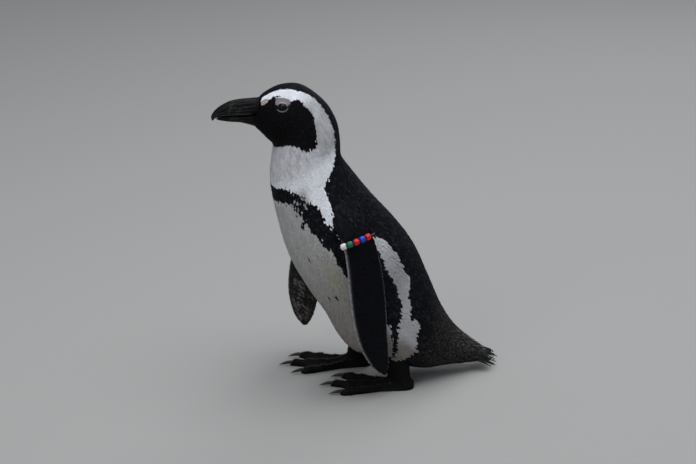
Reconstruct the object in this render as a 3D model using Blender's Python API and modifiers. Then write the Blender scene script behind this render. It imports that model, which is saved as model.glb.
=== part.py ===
"""African penguin, life size, standing with its head turned a little to its right.

Metres, +Z up. The bird faces -Y, its left side is +X, its soles are on Z = 0, and the
origin is the middle of its bounding box's underside.
"""
import bpy
import bmesh
import numpy as np
from math import radians, pi, sin, cos
from mathutils import Matrix, Vector

MM = 0.001
ORIGIN_FROM_FEET = Vector((-13.8, 23.8, 0.0)) * MM   # bounding box middle, from between the feet
GAP = 0.3 * MM                   # air between touching pieces
CUT_GAP = 0.6 * MM               # how far a cutter stands off the body

# The body is a row of oval sections. Each one has a point on the back, a point on the
# underside (both as y, z) and a half width, from the tail's root to the root of the bill.
BODY_SECTIONS = {
    "tail_root": ((166, 27), (160, 10), 12),
    "rump": ((142, 54), (124, 9.5), 27),
    "vent": ((120, 90), (92, 12), 44),
    "hips": ((103, 130), (47, 27), 56),
    "belly": ((86, 168), (6, 46), 61),
    "middle": ((63, 200), (-18, 86), 62),
    "breast": ((35, 232), (-40, 120), 59),
    "shoulders": ((11, 263), (-61, 160), 52),
    "neck_root": ((-0.5, 281), (-75, 208), 43),
    "neck": ((-1.5, 300), (-83, 252), 36.5),
    "throat": ((-6, 322), (-80, 286), 33),
    "nape": ((-20, 345), (-79.5, 295), 30),
    "crown": ((-45, 363.5), (-86, 302), 28),
    "brow": ((-68, 364.5), (-91.5, 308), 23),
    "forehead": ((-86, 356.5), (-96.5, 313), 16.5),
    "bill_root": ((-94, 350), (-99.5, 315.5), 10.5),
}
SIDES = 32                       # corners round the body
RING_STEP = 0.38                 # from ring to ring, counted in sections
SHOULDER_NARROWING = 0.10        # the back of the neck and head is this much narrower than the front
THIGH_SQUARENESS = 0.28          # how far the thighs fill out the lower flanks
RUMP_TRUNK_JOINT = 2.2           # where the body is split, counted in sections
TRUNK_NECK_JOINT = 8.4
NECK_HEAD_JOINT = 10.6
BILL_JOINT = 15.0

HEAD_TURN = radians(11)          # to the bird's right, taken up along the neck
NECK_AXIS_Y = -38 * MM
TURN_STARTS = 8.0
TURN_ENDS = 11.5

EYE_YZ = (-66.5, 344.7)          # in the head's own middle plane, before it turns
EYE_RADIUS = 7.0 * MM
EYE_SIDEWAYS = 18.4 * MM         # from the head's middle plane to the eye's centre

# The bill: back edge (y, z), lower edge (y, z) and half width of each section.
UPPER_BILL = [
    ((-104, 348.8), (-106, 330.2), 8.8),
    ((-115.3, 348.0), (-117, 329.5), 7.4),
    ((-126.7, 345.8), (-128, 328.6), 6.2),
    ((-137.5, 340.4), (-138, 327.6), 4.7),
    ((-143.6, 335.6), (-143.4, 326.0), 3.3),
    ((-147.0, 331.2), (-145.8, 323.8), 2.0),
    ((-148.6, 327.6), (-147.5, 323.0), 0.8),
]
LOWER_BILL = [
    ((-106, 329.8), (-106.5, 318.4), 8.2),
    ((-117, 329.1), (-116, 320.6), 6.6),
    ((-128, 328.2), (-127, 321.4), 5.0),
    ((-137.5, 327.2), (-137.5, 323.0), 3.3),
    ((-142.4, 325.6), (-142.2, 324.2), 1.4),
]
GAPE_AT_ROOT = 0.46              # share of the bill's root that is lower bill
UPPER_WIDEST = 0.14              # height of the widest part, as a share of each ring
LOWER_WIDEST = 0.86

# The left flipper: middle of the blade (x, y, z), width, thickness, twist of the front edge
# away from the body. The first two sections are inside the shoulder.
FLIPPER_SECTIONS = [
    ((36, -4, 232), 30, 20, 0),
    ((50, -3, 219), 36, 19, 4),
    ((61, 0, 205), 38, 15, 8),
    ((67, 4, 189), 39, 12.5, 10),
    ((69.5, 8, 168), 42, 10.5, 12),
    ((70.5, 11.5, 140), 45, 9, 14),
    ((70.5, 15, 108), 45, 8, 16),
    ((69.5, 20, 76), 39, 7, 18),
    ((68, 27, 52), 29, 5.6, 20),
    ((67, 32, 39), 19, 4.4, 20),
    ((66.5, 35, 31.5), 8, 3.2, 20),
]
FLIPPER_CORNERS = 18
SHOULDER = Vector((-50, -3, 218)) * MM
RIGHT_FLIPPER_FORWARD = radians(16)
RIGHT_FLIPPER_OUT = radians(12)

# A foot, from the heel forwards: the shank's lower end lies flat behind the webbed toes.
FOOT_LENGTH = 99 * MM            # heel to the tip of the middle toe, without its claw
SIDE_TOE_LENGTH = 87 * MM
WEB_LENGTH = 80 * MM
FOOT_HALF_WIDTH = 31 * MM
HEEL_HALF_WIDTH = 12 * MM
HEEL_HEIGHT = 17 * MM
TOE_HEIGHT = 8.5 * MM
WEB_HEIGHT = 3 * MM
TOE_BASE = 38 * MM               # where the toes begin to spread
SIDE_TOE = 0.84                  # how far out the side toes run, as a share of the width
LEFT_FOOT = {"heel": (45, 77), "turn": -17, "leg_top_back": -10}
RIGHT_FOOT = {"heel": (-42, 49), "turn": -11, "leg_top_back": 10}
CLAW_LENGTH = 13 * MM
CLAW_RADIUS = 2.5 * MM

# A leg, from inside the belly down to the heel: middle and half sizes, in the foot's frame.
LEG_TOP = 62 * MM
LEG_TOP_RADIUS = 17 * MM
LEG_FOOT_RADIUS = 11.5 * MM
LEG_LEAN = 10 * MM               # how far the leg's top stands in towards the middle
LEG_BOTTOM = 9 * MM
LEG_FORWARD_OF_HEEL = 17 * MM    # the leg's middle, ahead of the heel's rear edge

# The tail: a fan of stiff feathers, thick at the root and thin at the tips.
TAIL_FEATHERS = 9
TAIL_GAP = 0.35 * MM             # along Y, behind the rump's slanting end
TAIL_LENGTH = 31 * MM
TAIL_SPREAD = radians(76)
TAIL_TURN = radians(7)           # towards the bird's left
TAIL_NOTCH = 0.16                # depth of the gaps between the feathers' tips
TAIL_ROOT_THICKNESS = 15 * MM
TAIL_TIP_THICKNESS = 1.4 * MM
TAIL_TIP_Z = 5.0 * MM

# The band on the left flipper: a thin strap with five barrel beads on its outer side.
BAND_SECTION = 2.65              # place along the flipper, counted in its sections
BAND_TILT = radians(4)
BAND_FRONT = 5.0 * MM            # how far the strap stands off the flipper, on each side
BAND_REAR = 2.2 * MM
BAND_OUTSIDE = 4.9 * MM
BAND_INSIDE = 1.6 * MM
STRAP_RADIUS = 0.8 * MM
BEAD_RADIUS = 3.8 * MM
BEAD_END_RADIUS = 2.5 * MM
BEAD_HOLE_RADIUS = 1.25 * MM
BEAD_LENGTH = 6.6 * MM
BEAD_PITCH = 7.8 * MM
FIRST_BEAD_ANGLE = radians(12)   # round the loop, from its front
BEAD_COLOURS = ["white", "green", "red", "blue", "red"]

MATERIALS = {                    # colour, roughness, metallic
    "black_feather": ((0.015, 0.015, 0.018), 0.6, 0.0),
    "white_feather": ((0.62, 0.61, 0.58), 0.7, 0.0),
    "tail_feather": ((0.03, 0.028, 0.028), 0.55, 0.0),
    "flipper": ((0.018, 0.018, 0.024), 0.5, 0.0),
    "foot_skin": ((0.018, 0.017, 0.017), 0.5, 0.0),
    "horn": ((0.02, 0.02, 0.02), 0.35, 0.0),
    "eye": ((0.035, 0.015, 0.01), 0.08, 0.0),
    "strap": ((0.02, 0.02, 0.02), 0.4, 0.0),
    "bead_white": ((0.75, 0.75, 0.72), 0.3, 0.0),
    "bead_green": ((0.01, 0.12, 0.05), 0.3, 0.0),
    "bead_red": ((0.6, 0.015, 0.02), 0.3, 0.0),
    "bead_blue": ((0.01, 0.05, 0.5), 0.3, 0.0),
}


def clear_scene():
    for thing in list(bpy.data.objects):
        bpy.data.objects.remove(thing, do_unlink=True)


def new_collection(name):
    collection = bpy.data.collections.new(name)
    bpy.context.scene.collection.children.link(collection)
    return collection


def get_material(name):
    if name in bpy.data.materials:
        return bpy.data.materials[name]
    colour, roughness, metallic = MATERIALS[name]
    material = bpy.data.materials.new(name)
    material.use_nodes = True
    shader = material.node_tree.nodes["Principled BSDF"]
    shader.inputs["Base Color"].default_value = (*colour, 1.0)
    shader.inputs["Roughness"].default_value = roughness
    shader.inputs["Metallic"].default_value = metallic
    return material


def add_object(name, mesh, material, collection, smooth=True):
    """Link a mesh as an object under the bird's empty."""
    thing = bpy.data.objects.new(name, mesh)
    collection.objects.link(thing)
    if material:
        mesh.materials.append(get_material(material))
    if smooth:
        mesh.shade_smooth()
        mesh.set_sharp_from_angle(angle=radians(50))
    thing.parent = bird
    return thing


def mark_cutter(thing):
    thing.hide_render = True
    thing.display_type = "WIRE"
    return thing


def cut(thing, cutter):
    modifier = thing.modifiers.new("cut_" + cutter.name, "BOOLEAN")
    modifier.operation = "DIFFERENCE"
    modifier.solver = "EXACT"
    modifier.object = cutter


def loft_mesh(name, rings):
    """A closed mesh through rings of equally many points, with a flat face at each end."""
    count = len(rings[0])
    points = np.concatenate(rings)
    faces = []
    for row in range(len(rings) - 1):
        for i in range(count):
            j = (i + 1) % count
            a, b = row * count + i, row * count + j
            faces.append((a, b, b + count, a + count))
    faces.append(tuple(reversed(range(count))))
    faces.append(tuple(range(len(points) - count, len(points))))
    mesh = bpy.data.meshes.new(name)
    mesh.from_pydata(points.tolist(), [], faces)
    face_outwards(mesh)
    return mesh


def face_outwards(mesh):
    shape = bmesh.new()
    shape.from_mesh(mesh)
    bmesh.ops.recalc_face_normals(shape, faces=shape.faces)
    shape.to_mesh(mesh)
    shape.free()


def smooth_step(start, end, value):
    """0 at start, 1 at end and even in between; start may be the larger of the two."""
    share = min(max((value - start) / (end - start), 0.0), 1.0)
    return share * share * (3 - 2 * share)


def turn_about_neck(points, angle):
    """Turn points about the neck's upright axis, so that the bill goes to the bird's right."""
    x = points[:, 0]
    y = points[:, 1] - NECK_AXIS_Y
    turned = points.copy()
    turned[:, 0] = x * cos(angle) + y * sin(angle)
    turned[:, 1] = NECK_AXIS_Y - x * sin(angle) + y * cos(angle)
    return turned


def body_section(place):
    """Back point, underside point and half width at a place, by a Catmull-Rom curve."""
    table = np.array([(*back, *under, width) for back, under, width in BODY_SECTIONS.values()])
    table = np.vstack([2 * table[0] - table[1], table, 2 * table[-1] - table[-2]]) * MM
    index = min(int(place), len(BODY_SECTIONS) - 2)
    f = place - index
    p0, p1, p2, p3 = table[index:index + 4]
    row = 0.5 * (2 * p1 + (p2 - p0) * f + (2 * p0 - 5 * p1 + 4 * p2 - p3) * f ** 2
                 + (3 * p1 - p0 - 3 * p2 + p3) * f ** 3)
    return row[0:2], row[2:4], row[4]


def body_ring(place, grow=0.0, shift=0.0):
    """The oval at a place. grow makes it larger all round, shift moves it along the body."""
    back, under, half_width = body_section(place)
    middle = (back + under) / 2
    half = (back - under) / 2
    half_height = np.linalg.norm(half)
    upright = half / half_height
    along = np.array((-upright[1], upright[0]))
    angle = np.linspace(0, 2 * pi, SIDES, endpoint=False)
    narrowing = 0.06 + SHOULDER_NARROWING * smooth_step(9, 13, place)
    squareness = THIGH_SQUARENESS * smooth_step(0.6, 2.2, place) * smooth_step(6.0, 3.4, place)
    power = np.where(np.cos(angle) < 0, 1 - squareness, 1.0)
    across = np.sign(np.sin(angle)) * np.abs(np.sin(angle)) ** power
    rise = np.sign(np.cos(angle)) * np.abs(np.cos(angle)) ** power
    x = (half_width + grow) * across * (1 - narrowing * np.cos(angle))
    yz = middle + shift * along + np.outer(rise, upright) * (half_height + grow)
    points = np.column_stack([x, yz])
    return turn_about_neck(points, HEAD_TURN * smooth_step(TURN_STARTS, TURN_ENDS, place))


def body_rings(first, last, grow=0.0):
    count = max(2, round((last - first) / RING_STEP))
    return [body_ring(place, grow) for place in np.linspace(first, last, count + 1)]


def body_piece(name, first, last, material):
    """One stretch of the body. Its far end stands a gap short of the joint."""
    rings = body_rings(first, last)
    if last < BILL_JOINT:
        rings[-1] = body_ring(last, shift=-GAP)
    return add_object(name, loft_mesh(name, rings), material, parts)


def build_body_cutter():
    """The body from tail to neck in one piece, a little larger, with the pieces' own rings."""
    rings = body_rings(0.0, RUMP_TRUNK_JOINT, CUT_GAP)
    rings += body_rings(RUMP_TRUNK_JOINT, TRUNK_NECK_JOINT, CUT_GAP)[1:]
    rings += body_rings(TRUNK_NECK_JOINT, NECK_HEAD_JOINT, CUT_GAP)[1:]
    return mark_cutter(add_object("body_cutter", loft_mesh("body_cutter", rings), None, cutters))


def build_eye(name, side):
    """Build an eyeball and return the cutter for its socket in the head."""
    y, z = EYE_YZ
    place = np.array([(side * EYE_SIDEWAYS, y * MM, z * MM)])
    centre = Vector(turn_about_neck(place, HEAD_TURN)[0])
    eyeball(name, EYE_RADIUS, centre, "eye", parts)
    return mark_cutter(eyeball(name + "_socket", EYE_RADIUS + GAP, centre, None, cutters))


def eyeball(name, radius, centre, material, collection):
    """A sphere with its poles to the sides of the head."""
    mesh = bpy.data.meshes.new(name)
    shape = bmesh.new()
    bmesh.ops.create_uvsphere(shape, u_segments=14, v_segments=8, radius=radius)
    bmesh.ops.rotate(shape, verts=shape.verts, matrix=Matrix.Rotation(pi / 2, 3, "Y"))
    shape.to_mesh(mesh)
    shape.free()
    thing = add_object(name, mesh, material, collection)
    thing.location = centre
    thing.rotation_euler = (0, 0, -HEAD_TURN)
    return thing


def bill_root(share):
    """A point on the bill's root, a gap in front of the head, at a share of its height."""
    back, under, _ = body_section(BILL_JOINT)
    upright = (back - under) / np.linalg.norm(back - under)
    forward = np.array((-upright[1], upright[0]))
    return under + (back - under) * share + forward * GAP


def bill_ring(top, low, half_width, widest):
    """A rounded ring between a top and a low point. widest is the height of its widest part."""
    angle = np.linspace(0, 2 * pi, 16, endpoint=False)
    rise = np.cos(angle)
    height = np.where(rise > 0, widest + (1 - widest) * rise,
                      widest - widest * np.abs(rise) ** 0.8)
    x = half_width * np.sin(angle)
    yz = low + np.outer(height, top - low)
    points = np.column_stack([x, yz])
    return turn_about_neck(points, HEAD_TURN)


def build_bill():
    root_width = BODY_SECTIONS["bill_root"][2] * MM * 0.97
    upper = [(bill_root(0.985), bill_root(GAPE_AT_ROOT + 0.01), root_width)]
    lower = [(bill_root(GAPE_AT_ROOT), bill_root(0.015), root_width * 0.95)]
    for rows, table in ((upper, UPPER_BILL), (lower, LOWER_BILL)):
        for top, low, half_width in table:
            rows.append((np.array(top) * MM, np.array(low) * MM, half_width * MM))
    upper_rings = [bill_ring(*row, widest=UPPER_WIDEST) for row in upper]
    lower_rings = [bill_ring(*row, widest=LOWER_WIDEST) for row in lower]
    add_object("upper_bill", loft_mesh("upper_bill", upper_rings), "horn", parts)
    add_object("lower_bill", loft_mesh("lower_bill", lower_rings), "horn", parts)


def flipper_frame(place):
    """Middle, chord, normal, width and thickness of the left flipper at a place along it."""
    table = np.array([(*middle, width, thickness, twist)
                      for middle, width, thickness, twist in FLIPPER_SECTIONS], float)
    rows = np.arange(len(table))
    row = np.array([np.interp(place, rows, column) for column in table.T])
    ahead = np.array([np.interp(place + 0.5, rows, column) for column in table.T[:3]])
    behind = np.array([np.interp(place - 0.5, rows, column) for column in table.T[:3]])
    down = (ahead - behind) / np.linalg.norm(ahead - behind)
    twist = radians(row[5])
    chord = np.array((sin(twist), -cos(twist), 0.0))
    chord -= down * (chord @ down)
    chord /= np.linalg.norm(chord)
    normal = np.cross(chord, down)
    return row[:3] * MM, chord, normal, row[3] * MM, row[4] * MM


def flipper_ring(place):
    """A blade section: a blunt front edge, thickest behind it, and a thin rear edge."""
    middle, chord, normal, width, thickness = flipper_frame(place)
    angle = np.linspace(0, 2 * pi, FLIPPER_CORNERS, endpoint=False)
    across = np.cos(angle) * width / 2
    through = np.sin(angle) * (0.64 + 0.36 * np.cos(angle)) * thickness / 2
    return middle + np.outer(across, chord) + np.outer(through, normal)


def build_flippers(body_cutter):
    places = np.concatenate([np.arange(0, 8, 1.0), np.arange(8, 10.1, 0.5)])
    rings = [flipper_ring(place) for place in places]
    left = add_object("left_flipper", loft_mesh("left_flipper", rings), "flipper", parts)
    mirrored = [ring * np.array((-1, 1, 1)) for ring in rings]
    mesh = loft_mesh("right_flipper", mirrored)
    swing = Matrix.Rotation(RIGHT_FLIPPER_OUT, 4, "Y") @ Matrix.Rotation(-RIGHT_FLIPPER_FORWARD, 4, "X")
    mesh.transform(Matrix.Translation(SHOULDER) @ swing @ Matrix.Translation(-SHOULDER))
    right = add_object("right_flipper", mesh, "flipper", parts)
    for flipper in (left, right):
        cut(flipper, body_cutter)


def strand_length(across):
    """How far the foot reaches forward on a line at a share across it: long at each toe."""
    side = abs(across)
    middle_toe = np.exp(-(side / 0.16) ** 2)
    side_toe = np.exp(-((side - SIDE_TOE) / 0.13) ** 2)
    return (WEB_LENGTH + (FOOT_LENGTH - WEB_LENGTH) * middle_toe
            + (SIDE_TOE_LENGTH - WEB_LENGTH) * side_toe)


def foot_half_width(forward):
    heel = HEEL_HALF_WIDTH * np.sqrt(np.clip(forward / (10 * MM) + 0.12, 0, 1))
    spread = smooth_step(TOE_BASE - 14 * MM, SIDE_TOE_LENGTH, forward)
    return heel + (FOOT_HALF_WIDTH - HEEL_HALF_WIDTH) * spread


def foot_top(forward, across):
    """Height of the foot: an arched shank end that flattens into three toes and a web."""
    side = abs(across)
    toes = max(np.exp(-(side / 0.17) ** 2), np.exp(-((side - SIDE_TOE) / 0.15) ** 2))
    flat = WEB_HEIGHT + (TOE_HEIGHT - WEB_HEIGHT) * toes
    arch = 2 * MM + (HEEL_HEIGHT - 2 * MM) * np.sqrt(max(1 - side ** 2, 0))
    heel_slope = min(1.0, 0.5 + forward / (24 * MM))
    spread = smooth_step(TOE_BASE - 20 * MM, TOE_BASE + 12 * MM, forward)
    return arch * heel_slope * (1 - spread) + flat * spread


def foot_mesh(name, grow=0.0):
    """A height field over a fan of strands, closed by a flat sole."""
    shares = np.concatenate([np.linspace(0, 0.4, 5), np.linspace(0.5, 1.0, 7)])
    lanes = np.linspace(-1, 1, 17)
    top = []
    sole = []
    for share in shares:
        for lane in lanes:
            forward = share * strand_length(lane)
            width = foot_half_width(forward) + grow
            reach = forward + grow * (2 * share - 1)
            height = foot_top(forward, lane) + grow
            top.append((lane * width, -reach, height))
            sole.append((lane * width, -reach, -grow))
    mesh = bpy.data.meshes.new(name)
    faces = []
    rows, columns = len(shares), len(lanes)
    for r in range(rows - 1):
        for c in range(columns - 1):
            a = r * columns + c
            faces.append((a, a + 1, a + columns + 1, a + columns))
    rim = list(range(columns))
    rim += [r * columns + columns - 1 for r in range(1, rows)]
    rim += [(rows - 1) * columns + c for c in range(columns - 2, -1, -1)]
    rim += [r * columns for r in range(rows - 2, 0, -1)]
    first_sole = len(top)
    for i, a in enumerate(rim):
        b = rim[(i + 1) % len(rim)]
        faces.append((a, b, b + first_sole, a + first_sole))
    faces.append(tuple(first_sole + a for a in reversed(rim)))
    mesh.from_pydata(top + sole, [], faces)
    face_outwards(mesh)
    remove_loose_points(mesh)
    return mesh


def remove_loose_points(mesh):
    shape = bmesh.new()
    shape.from_mesh(mesh)
    loose = [point for point in shape.verts if not point.link_faces]
    bmesh.ops.delete(shape, geom=loose, context="VERTS")
    shape.to_mesh(mesh)
    shape.free()


def claw_mesh(name, length, radius, base_height):
    """A curved, tapering claw that points forward and comes down to the floor."""
    rings = []
    angle = np.linspace(0, 2 * pi, 8, endpoint=False)
    for share in (0.0, 0.25, 0.5, 0.75, 0.93, 1.0):
        size = radius * (1 - share ** 1.7) * 0.94 + radius * 0.06
        height = base_height + 0.7 * MM - (base_height - 0.6 * MM) * share ** 1.6
        x = np.cos(angle) * size * 0.85
        z = np.maximum(height + np.sin(angle) * size, 0.15 * MM)
        rings.append(np.column_stack([x, np.full(len(angle), -share * length), z]))
    return loft_mesh(name, rings)


def leg_mesh(name, mirror, top_back):
    """The shank: an upright oval that widens into the belly and leans in towards it."""
    angle = np.linspace(0, 2 * pi, 18, endpoint=False)
    rings = []
    for share in np.linspace(0, 1, 6):
        height = LEG_BOTTOM + (LEG_TOP - LEG_BOTTOM) * share
        radius = LEG_FOOT_RADIUS + (LEG_TOP_RADIUS - LEG_FOOT_RADIUS) * share ** 0.8
        x = np.cos(angle) * radius * 0.9 - mirror * LEG_LEAN * share
        y = np.sin(angle) * radius - LEG_FORWARD_OF_HEEL + top_back * share
        rings.append(np.column_stack([x, y, np.full(len(angle), height)]))
    return loft_mesh(name, rings)


def build_leg_and_foot(side, settings, body_cutter):
    """One foot with its claws and leg, under an empty at the heel."""
    heel = bpy.data.objects.new(side + "_heel", None)
    parts.objects.link(heel)
    heel.parent = bird
    heel.location = Vector((*settings["heel"], 0.0)) * MM
    heel.rotation_euler = (0, 0, radians(settings["turn"]))
    foot = add_object(side + "_foot", foot_mesh(side + "_foot"), "foot_skin", parts)
    foot_cutter = add_object(side + "_foot_cutter", foot_mesh("foot_cutter", CUT_GAP), None, cutters)
    mirror = 1 if side == "left" else -1
    shank = leg_mesh(side + "_leg", mirror, settings["leg_top_back"] * MM)
    leg = add_object(side + "_leg", shank, "black_feather", parts)
    cut(leg, body_cutter)
    cut(leg, foot_cutter)
    claws = []
    for toe, lane in (("inner", -SIDE_TOE), ("middle", 0.0), ("outer", SIDE_TOE)):
        claw = claw_piece(side + "_" + toe + "_claw", lane * mirror)
        claws.append(claw)
    for thing in (foot, mark_cutter(foot_cutter), leg, *claws):
        thing.parent = heel


def claw_piece(name, lane):
    """A claw a gap in front of its toe, pointing along the toe's strand."""
    reach = strand_length(lane)
    tip = Vector((lane * foot_half_width(reach), -reach, 0.0))
    behind = reach * 0.85
    along = tip - Vector((lane * foot_half_width(behind), -behind, 0.0))
    mesh = claw_mesh(name, CLAW_LENGTH, CLAW_RADIUS, TOE_HEIGHT * 0.42)
    claw = add_object(name, mesh, "horn", parts)
    claw.rotation_euler = (0, 0, along.to_2d().angle_signed(Vector((0, -1))))
    claw.location = tip + Vector((0, -1, 0)) * CUT_GAP
    return claw


def build_tail():
    """A fan with a notch between each pair of feathers, flat below and arched above."""
    columns = TAIL_FEATHERS * 4 + 1
    spread = np.linspace(-1, 1, columns)
    feather = np.abs(np.sin(np.linspace(0, TAIL_FEATHERS * pi, columns)))
    reach = TAIL_LENGTH * (1 - TAIL_NOTCH + TAIL_NOTCH * feather) * (1 - 0.10 * spread ** 2)
    direction = spread * TAIL_SPREAD / 2 + TAIL_TURN
    top, under, root_half_width = body_section(0.0)
    lean = (top[0] - under[0]) / (top[1] - under[1])
    root_y, root_z = (top + under) / 2
    tip_z = TAIL_TIP_Z + TAIL_TIP_THICKNESS / 2
    rings = []
    for share in (0.0, 0.35, 0.7, 1.0):
        side = spread * root_half_width * 0.95 + np.sin(direction) * reach * share
        middle = root_z + (tip_z - root_z) * share
        thick = TAIL_TIP_THICKNESS + (TAIL_ROOT_THICKNESS - TAIL_TIP_THICKNESS) * (1 - share)
        half = np.maximum(thick * np.sqrt(1.0 - 0.75 * spread ** 2), TAIL_TIP_THICKNESS) / 2
        y = root_y + TAIL_GAP + np.cos(direction) * reach * share
        slant = half * lean * (1 - share)
        upper = np.column_stack([side, y + slant, middle + half])
        lower = np.column_stack([side, y - slant, middle - half])
        rings.append(np.concatenate([upper, lower[::-1]]))
    add_object("tail", loft_mesh("tail", rings), "tail_feather", parts)


def band_point(angle):
    """A point on the loose loop round the flipper. Angle 0 is in front, a quarter turn outside."""
    middle, chord, normal, width, thickness = flipper_frame(BAND_SECTION)
    down = np.cross(normal, chord)
    tilted = chord * cos(BAND_TILT) + down * sin(BAND_TILT)
    front = width / 2 + (BAND_FRONT if cos(angle) > 0 else BAND_REAR)
    side = thickness / 2 + (BAND_OUTSIDE if sin(angle) > 0 else BAND_INSIDE)
    return Vector(middle + tilted * cos(angle) * front + normal * sin(angle) * side)


def bead_ends():
    """Angles on the loop at which the beads meet, a bead's pitch apart."""
    angle = FIRST_BEAD_ANGLE
    ends = [angle]
    for _ in BEAD_COLOURS:
        start = band_point(ends[-1])
        while (band_point(angle) - start).length < BEAD_PITCH:
            angle += radians(0.25)
        ends.append(angle)
    return ends


def build_strap(ends):
    """A thin closed strap, straight inside each bead."""
    angles = list(ends)
    rest = np.linspace(ends[-1], ends[0] + 2 * pi, 22)
    angles += list(rest[1:-1])
    curve = bpy.data.curves.new("band_strap", "CURVE")
    curve.dimensions = "3D"
    curve.bevel_depth = STRAP_RADIUS
    curve.bevel_resolution = 1
    spline = curve.splines.new("POLY")
    spline.points.add(len(angles) - 1)
    for point, angle in zip(spline.points, angles):
        point.co = (*band_point(angle), 1.0)
    spline.use_cyclic_u = True
    guide = bpy.data.objects.new("strap_route", curve)
    parts.objects.link(guide)
    evaluated = guide.evaluated_get(bpy.context.evaluated_depsgraph_get())
    mesh = bpy.data.meshes.new_from_object(evaluated)
    mesh.name = "band_strap"
    mesh.materials.clear()
    bpy.data.objects.remove(guide)
    face_outwards(mesh)
    add_object("band_strap", mesh, "strap", parts)


def build_bead(number, colour, start, end):
    """A barrel bead: its half section turned about the strap."""
    half = BEAD_LENGTH / 2
    profile = [(BEAD_HOLE_RADIUS, half), (BEAD_END_RADIUS, half), (BEAD_RADIUS, half * 0.45),
               (BEAD_RADIUS, -half * 0.45), (BEAD_END_RADIUS, -half), (BEAD_HOLE_RADIUS, -half)]
    mesh = bpy.data.meshes.new("bead")
    edges = [(i, (i + 1) % len(profile)) for i in range(len(profile))]
    mesh.from_pydata([(radius, 0.0, height) for radius, height in profile], edges, [])
    bead = add_object("bead_%d_%s" % (number, colour), mesh, "bead_" + colour, parts, smooth=False)
    screw = bead.modifiers.new("turn", "SCREW")
    screw.steps = 12
    screw.render_steps = 12
    screw.use_merge_vertices = True
    screw.merge_threshold = 0.00005
    along = end - start
    bead.location = (start + end) / 2
    bead.rotation_euler = along.to_track_quat("Z", "Y").to_euler()


def build_band():
    ends = bead_ends()
    build_strap(ends)
    for i, colour in enumerate(BEAD_COLOURS):
        build_bead(i + 1, colour, band_point(ends[i]), band_point(ends[i + 1]))


clear_scene()
parts = new_collection("african_penguin")
cutters = new_collection("cutters")
bird = bpy.data.objects.new("bird", None)
parts.objects.link(bird)
bird.location = -ORIGIN_FROM_FEET

cutter = build_body_cutter()
body_piece("rump", 0.0, RUMP_TRUNK_JOINT, "black_feather")
body_piece("trunk", RUMP_TRUNK_JOINT, TRUNK_NECK_JOINT, "white_feather")
body_piece("neck", TRUNK_NECK_JOINT, NECK_HEAD_JOINT, "white_feather")
head = body_piece("head", NECK_HEAD_JOINT, BILL_JOINT, "black_feather")
for eye_name, eye_side in (("left_eye", 1), ("right_eye", -1)):
    cut(head, build_eye(eye_name, eye_side))
build_bill()
build_flippers(cutter)
build_leg_and_foot("left", LEFT_FOOT, cutter)
build_leg_and_foot("right", RIGHT_FOOT, cutter)
build_tail()
build_band()
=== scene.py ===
# African penguin, life size: skin, feather coat, bill, eyes, feet, tail and the bead band.
import bpy
import bmesh
import numpy as np
from math import radians, pi
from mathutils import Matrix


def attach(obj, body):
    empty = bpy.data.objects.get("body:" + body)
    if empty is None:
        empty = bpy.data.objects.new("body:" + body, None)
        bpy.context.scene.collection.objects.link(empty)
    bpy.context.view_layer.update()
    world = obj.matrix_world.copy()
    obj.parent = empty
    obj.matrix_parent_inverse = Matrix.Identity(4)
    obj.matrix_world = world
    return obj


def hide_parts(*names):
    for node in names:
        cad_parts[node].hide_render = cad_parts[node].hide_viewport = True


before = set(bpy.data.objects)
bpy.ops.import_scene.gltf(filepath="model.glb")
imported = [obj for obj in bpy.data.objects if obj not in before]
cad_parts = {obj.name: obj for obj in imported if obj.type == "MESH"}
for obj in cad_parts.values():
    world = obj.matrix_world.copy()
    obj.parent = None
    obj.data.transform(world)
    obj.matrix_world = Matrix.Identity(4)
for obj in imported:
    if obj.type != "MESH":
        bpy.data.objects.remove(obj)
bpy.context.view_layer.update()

mm = 0.001
fromFeet = np.array((13.8, -23.8, 0.0)) * mm   # from the spot between the feet to the frame's origin
headTurn = radians(11)                         # to the bird's right
neckAxisY = -38 * mm
rng = np.random.default_rng(11)
sides = {"left": 1, "right": -1}


def ease(start, end, value):
    # 0 at start, 1 at end, with a level slope at both; start may be the larger of the two
    share = np.clip((value - start) / (end - start), 0, 1)
    return share * share * (3 - 2 * share)


def bump(centre, spread, value):
    # a bell curve: 1 at the centre, fading over the spread
    return np.exp(-((value - centre) / spread) ** 2)


def mix(first, second, share):
    # between two colours or places, by a share for each row
    share = np.asarray(share, float)[..., None]
    return first * (1 - share) + second * share


waveFan = np.random.default_rng(5).normal(size=(4, 16))


def cloud(points, size):
    # smooth random patches about a size across, from -1 to 1: waves in many directions, added up
    turns = points @ waveFan[:3] * (2.2 / size) + waveFan[3] * 9
    return np.clip(np.sin(turns).sum(-1) / 4, -1, 1)


def unit(vectors):
    # each vector over its own length
    length = np.linalg.norm(vectors, axis=-1, keepdims=True)
    return vectors / np.maximum(length, 1e-9)


def throughRows(table, place):
    # a Catmull-Rom curve through the rows of a table, at places counted in rows
    table = np.asarray(table, float)
    padded = np.vstack([2 * table[0] - table[1], table, 2 * table[-1] - table[-2]])
    place = np.clip(np.asarray(place, float), 0, len(table) - 1 - 1e-9)
    row = place.astype(int)
    f = (place - row)[..., None]
    p0, p1, p2, p3 = (padded[row + k] for k in range(4))
    return 0.5 * (2 * p1 + (p2 - p0) * f + (2 * p0 - 5 * p1 + 4 * p2 - p3) * f ** 2
                  + (3 * p1 - p0 - 3 * p2 + p3) * f ** 3)


def fullTurn(count):
    # equal steps from 0 round a full turn
    return np.linspace(0, 2 * pi, count, endpoint=False)


def wayAlong(line):
    # how far along a line each of its points is: the sum of the steps before it
    return np.concatenate([[0], np.cumsum(np.linalg.norm(np.diff(line, axis=0), axis=1))])


def readTable(table, place):
    # the value at a place, on straight lines between a table's (place, value) rows
    return np.interp(place, *zip(*table))


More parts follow.
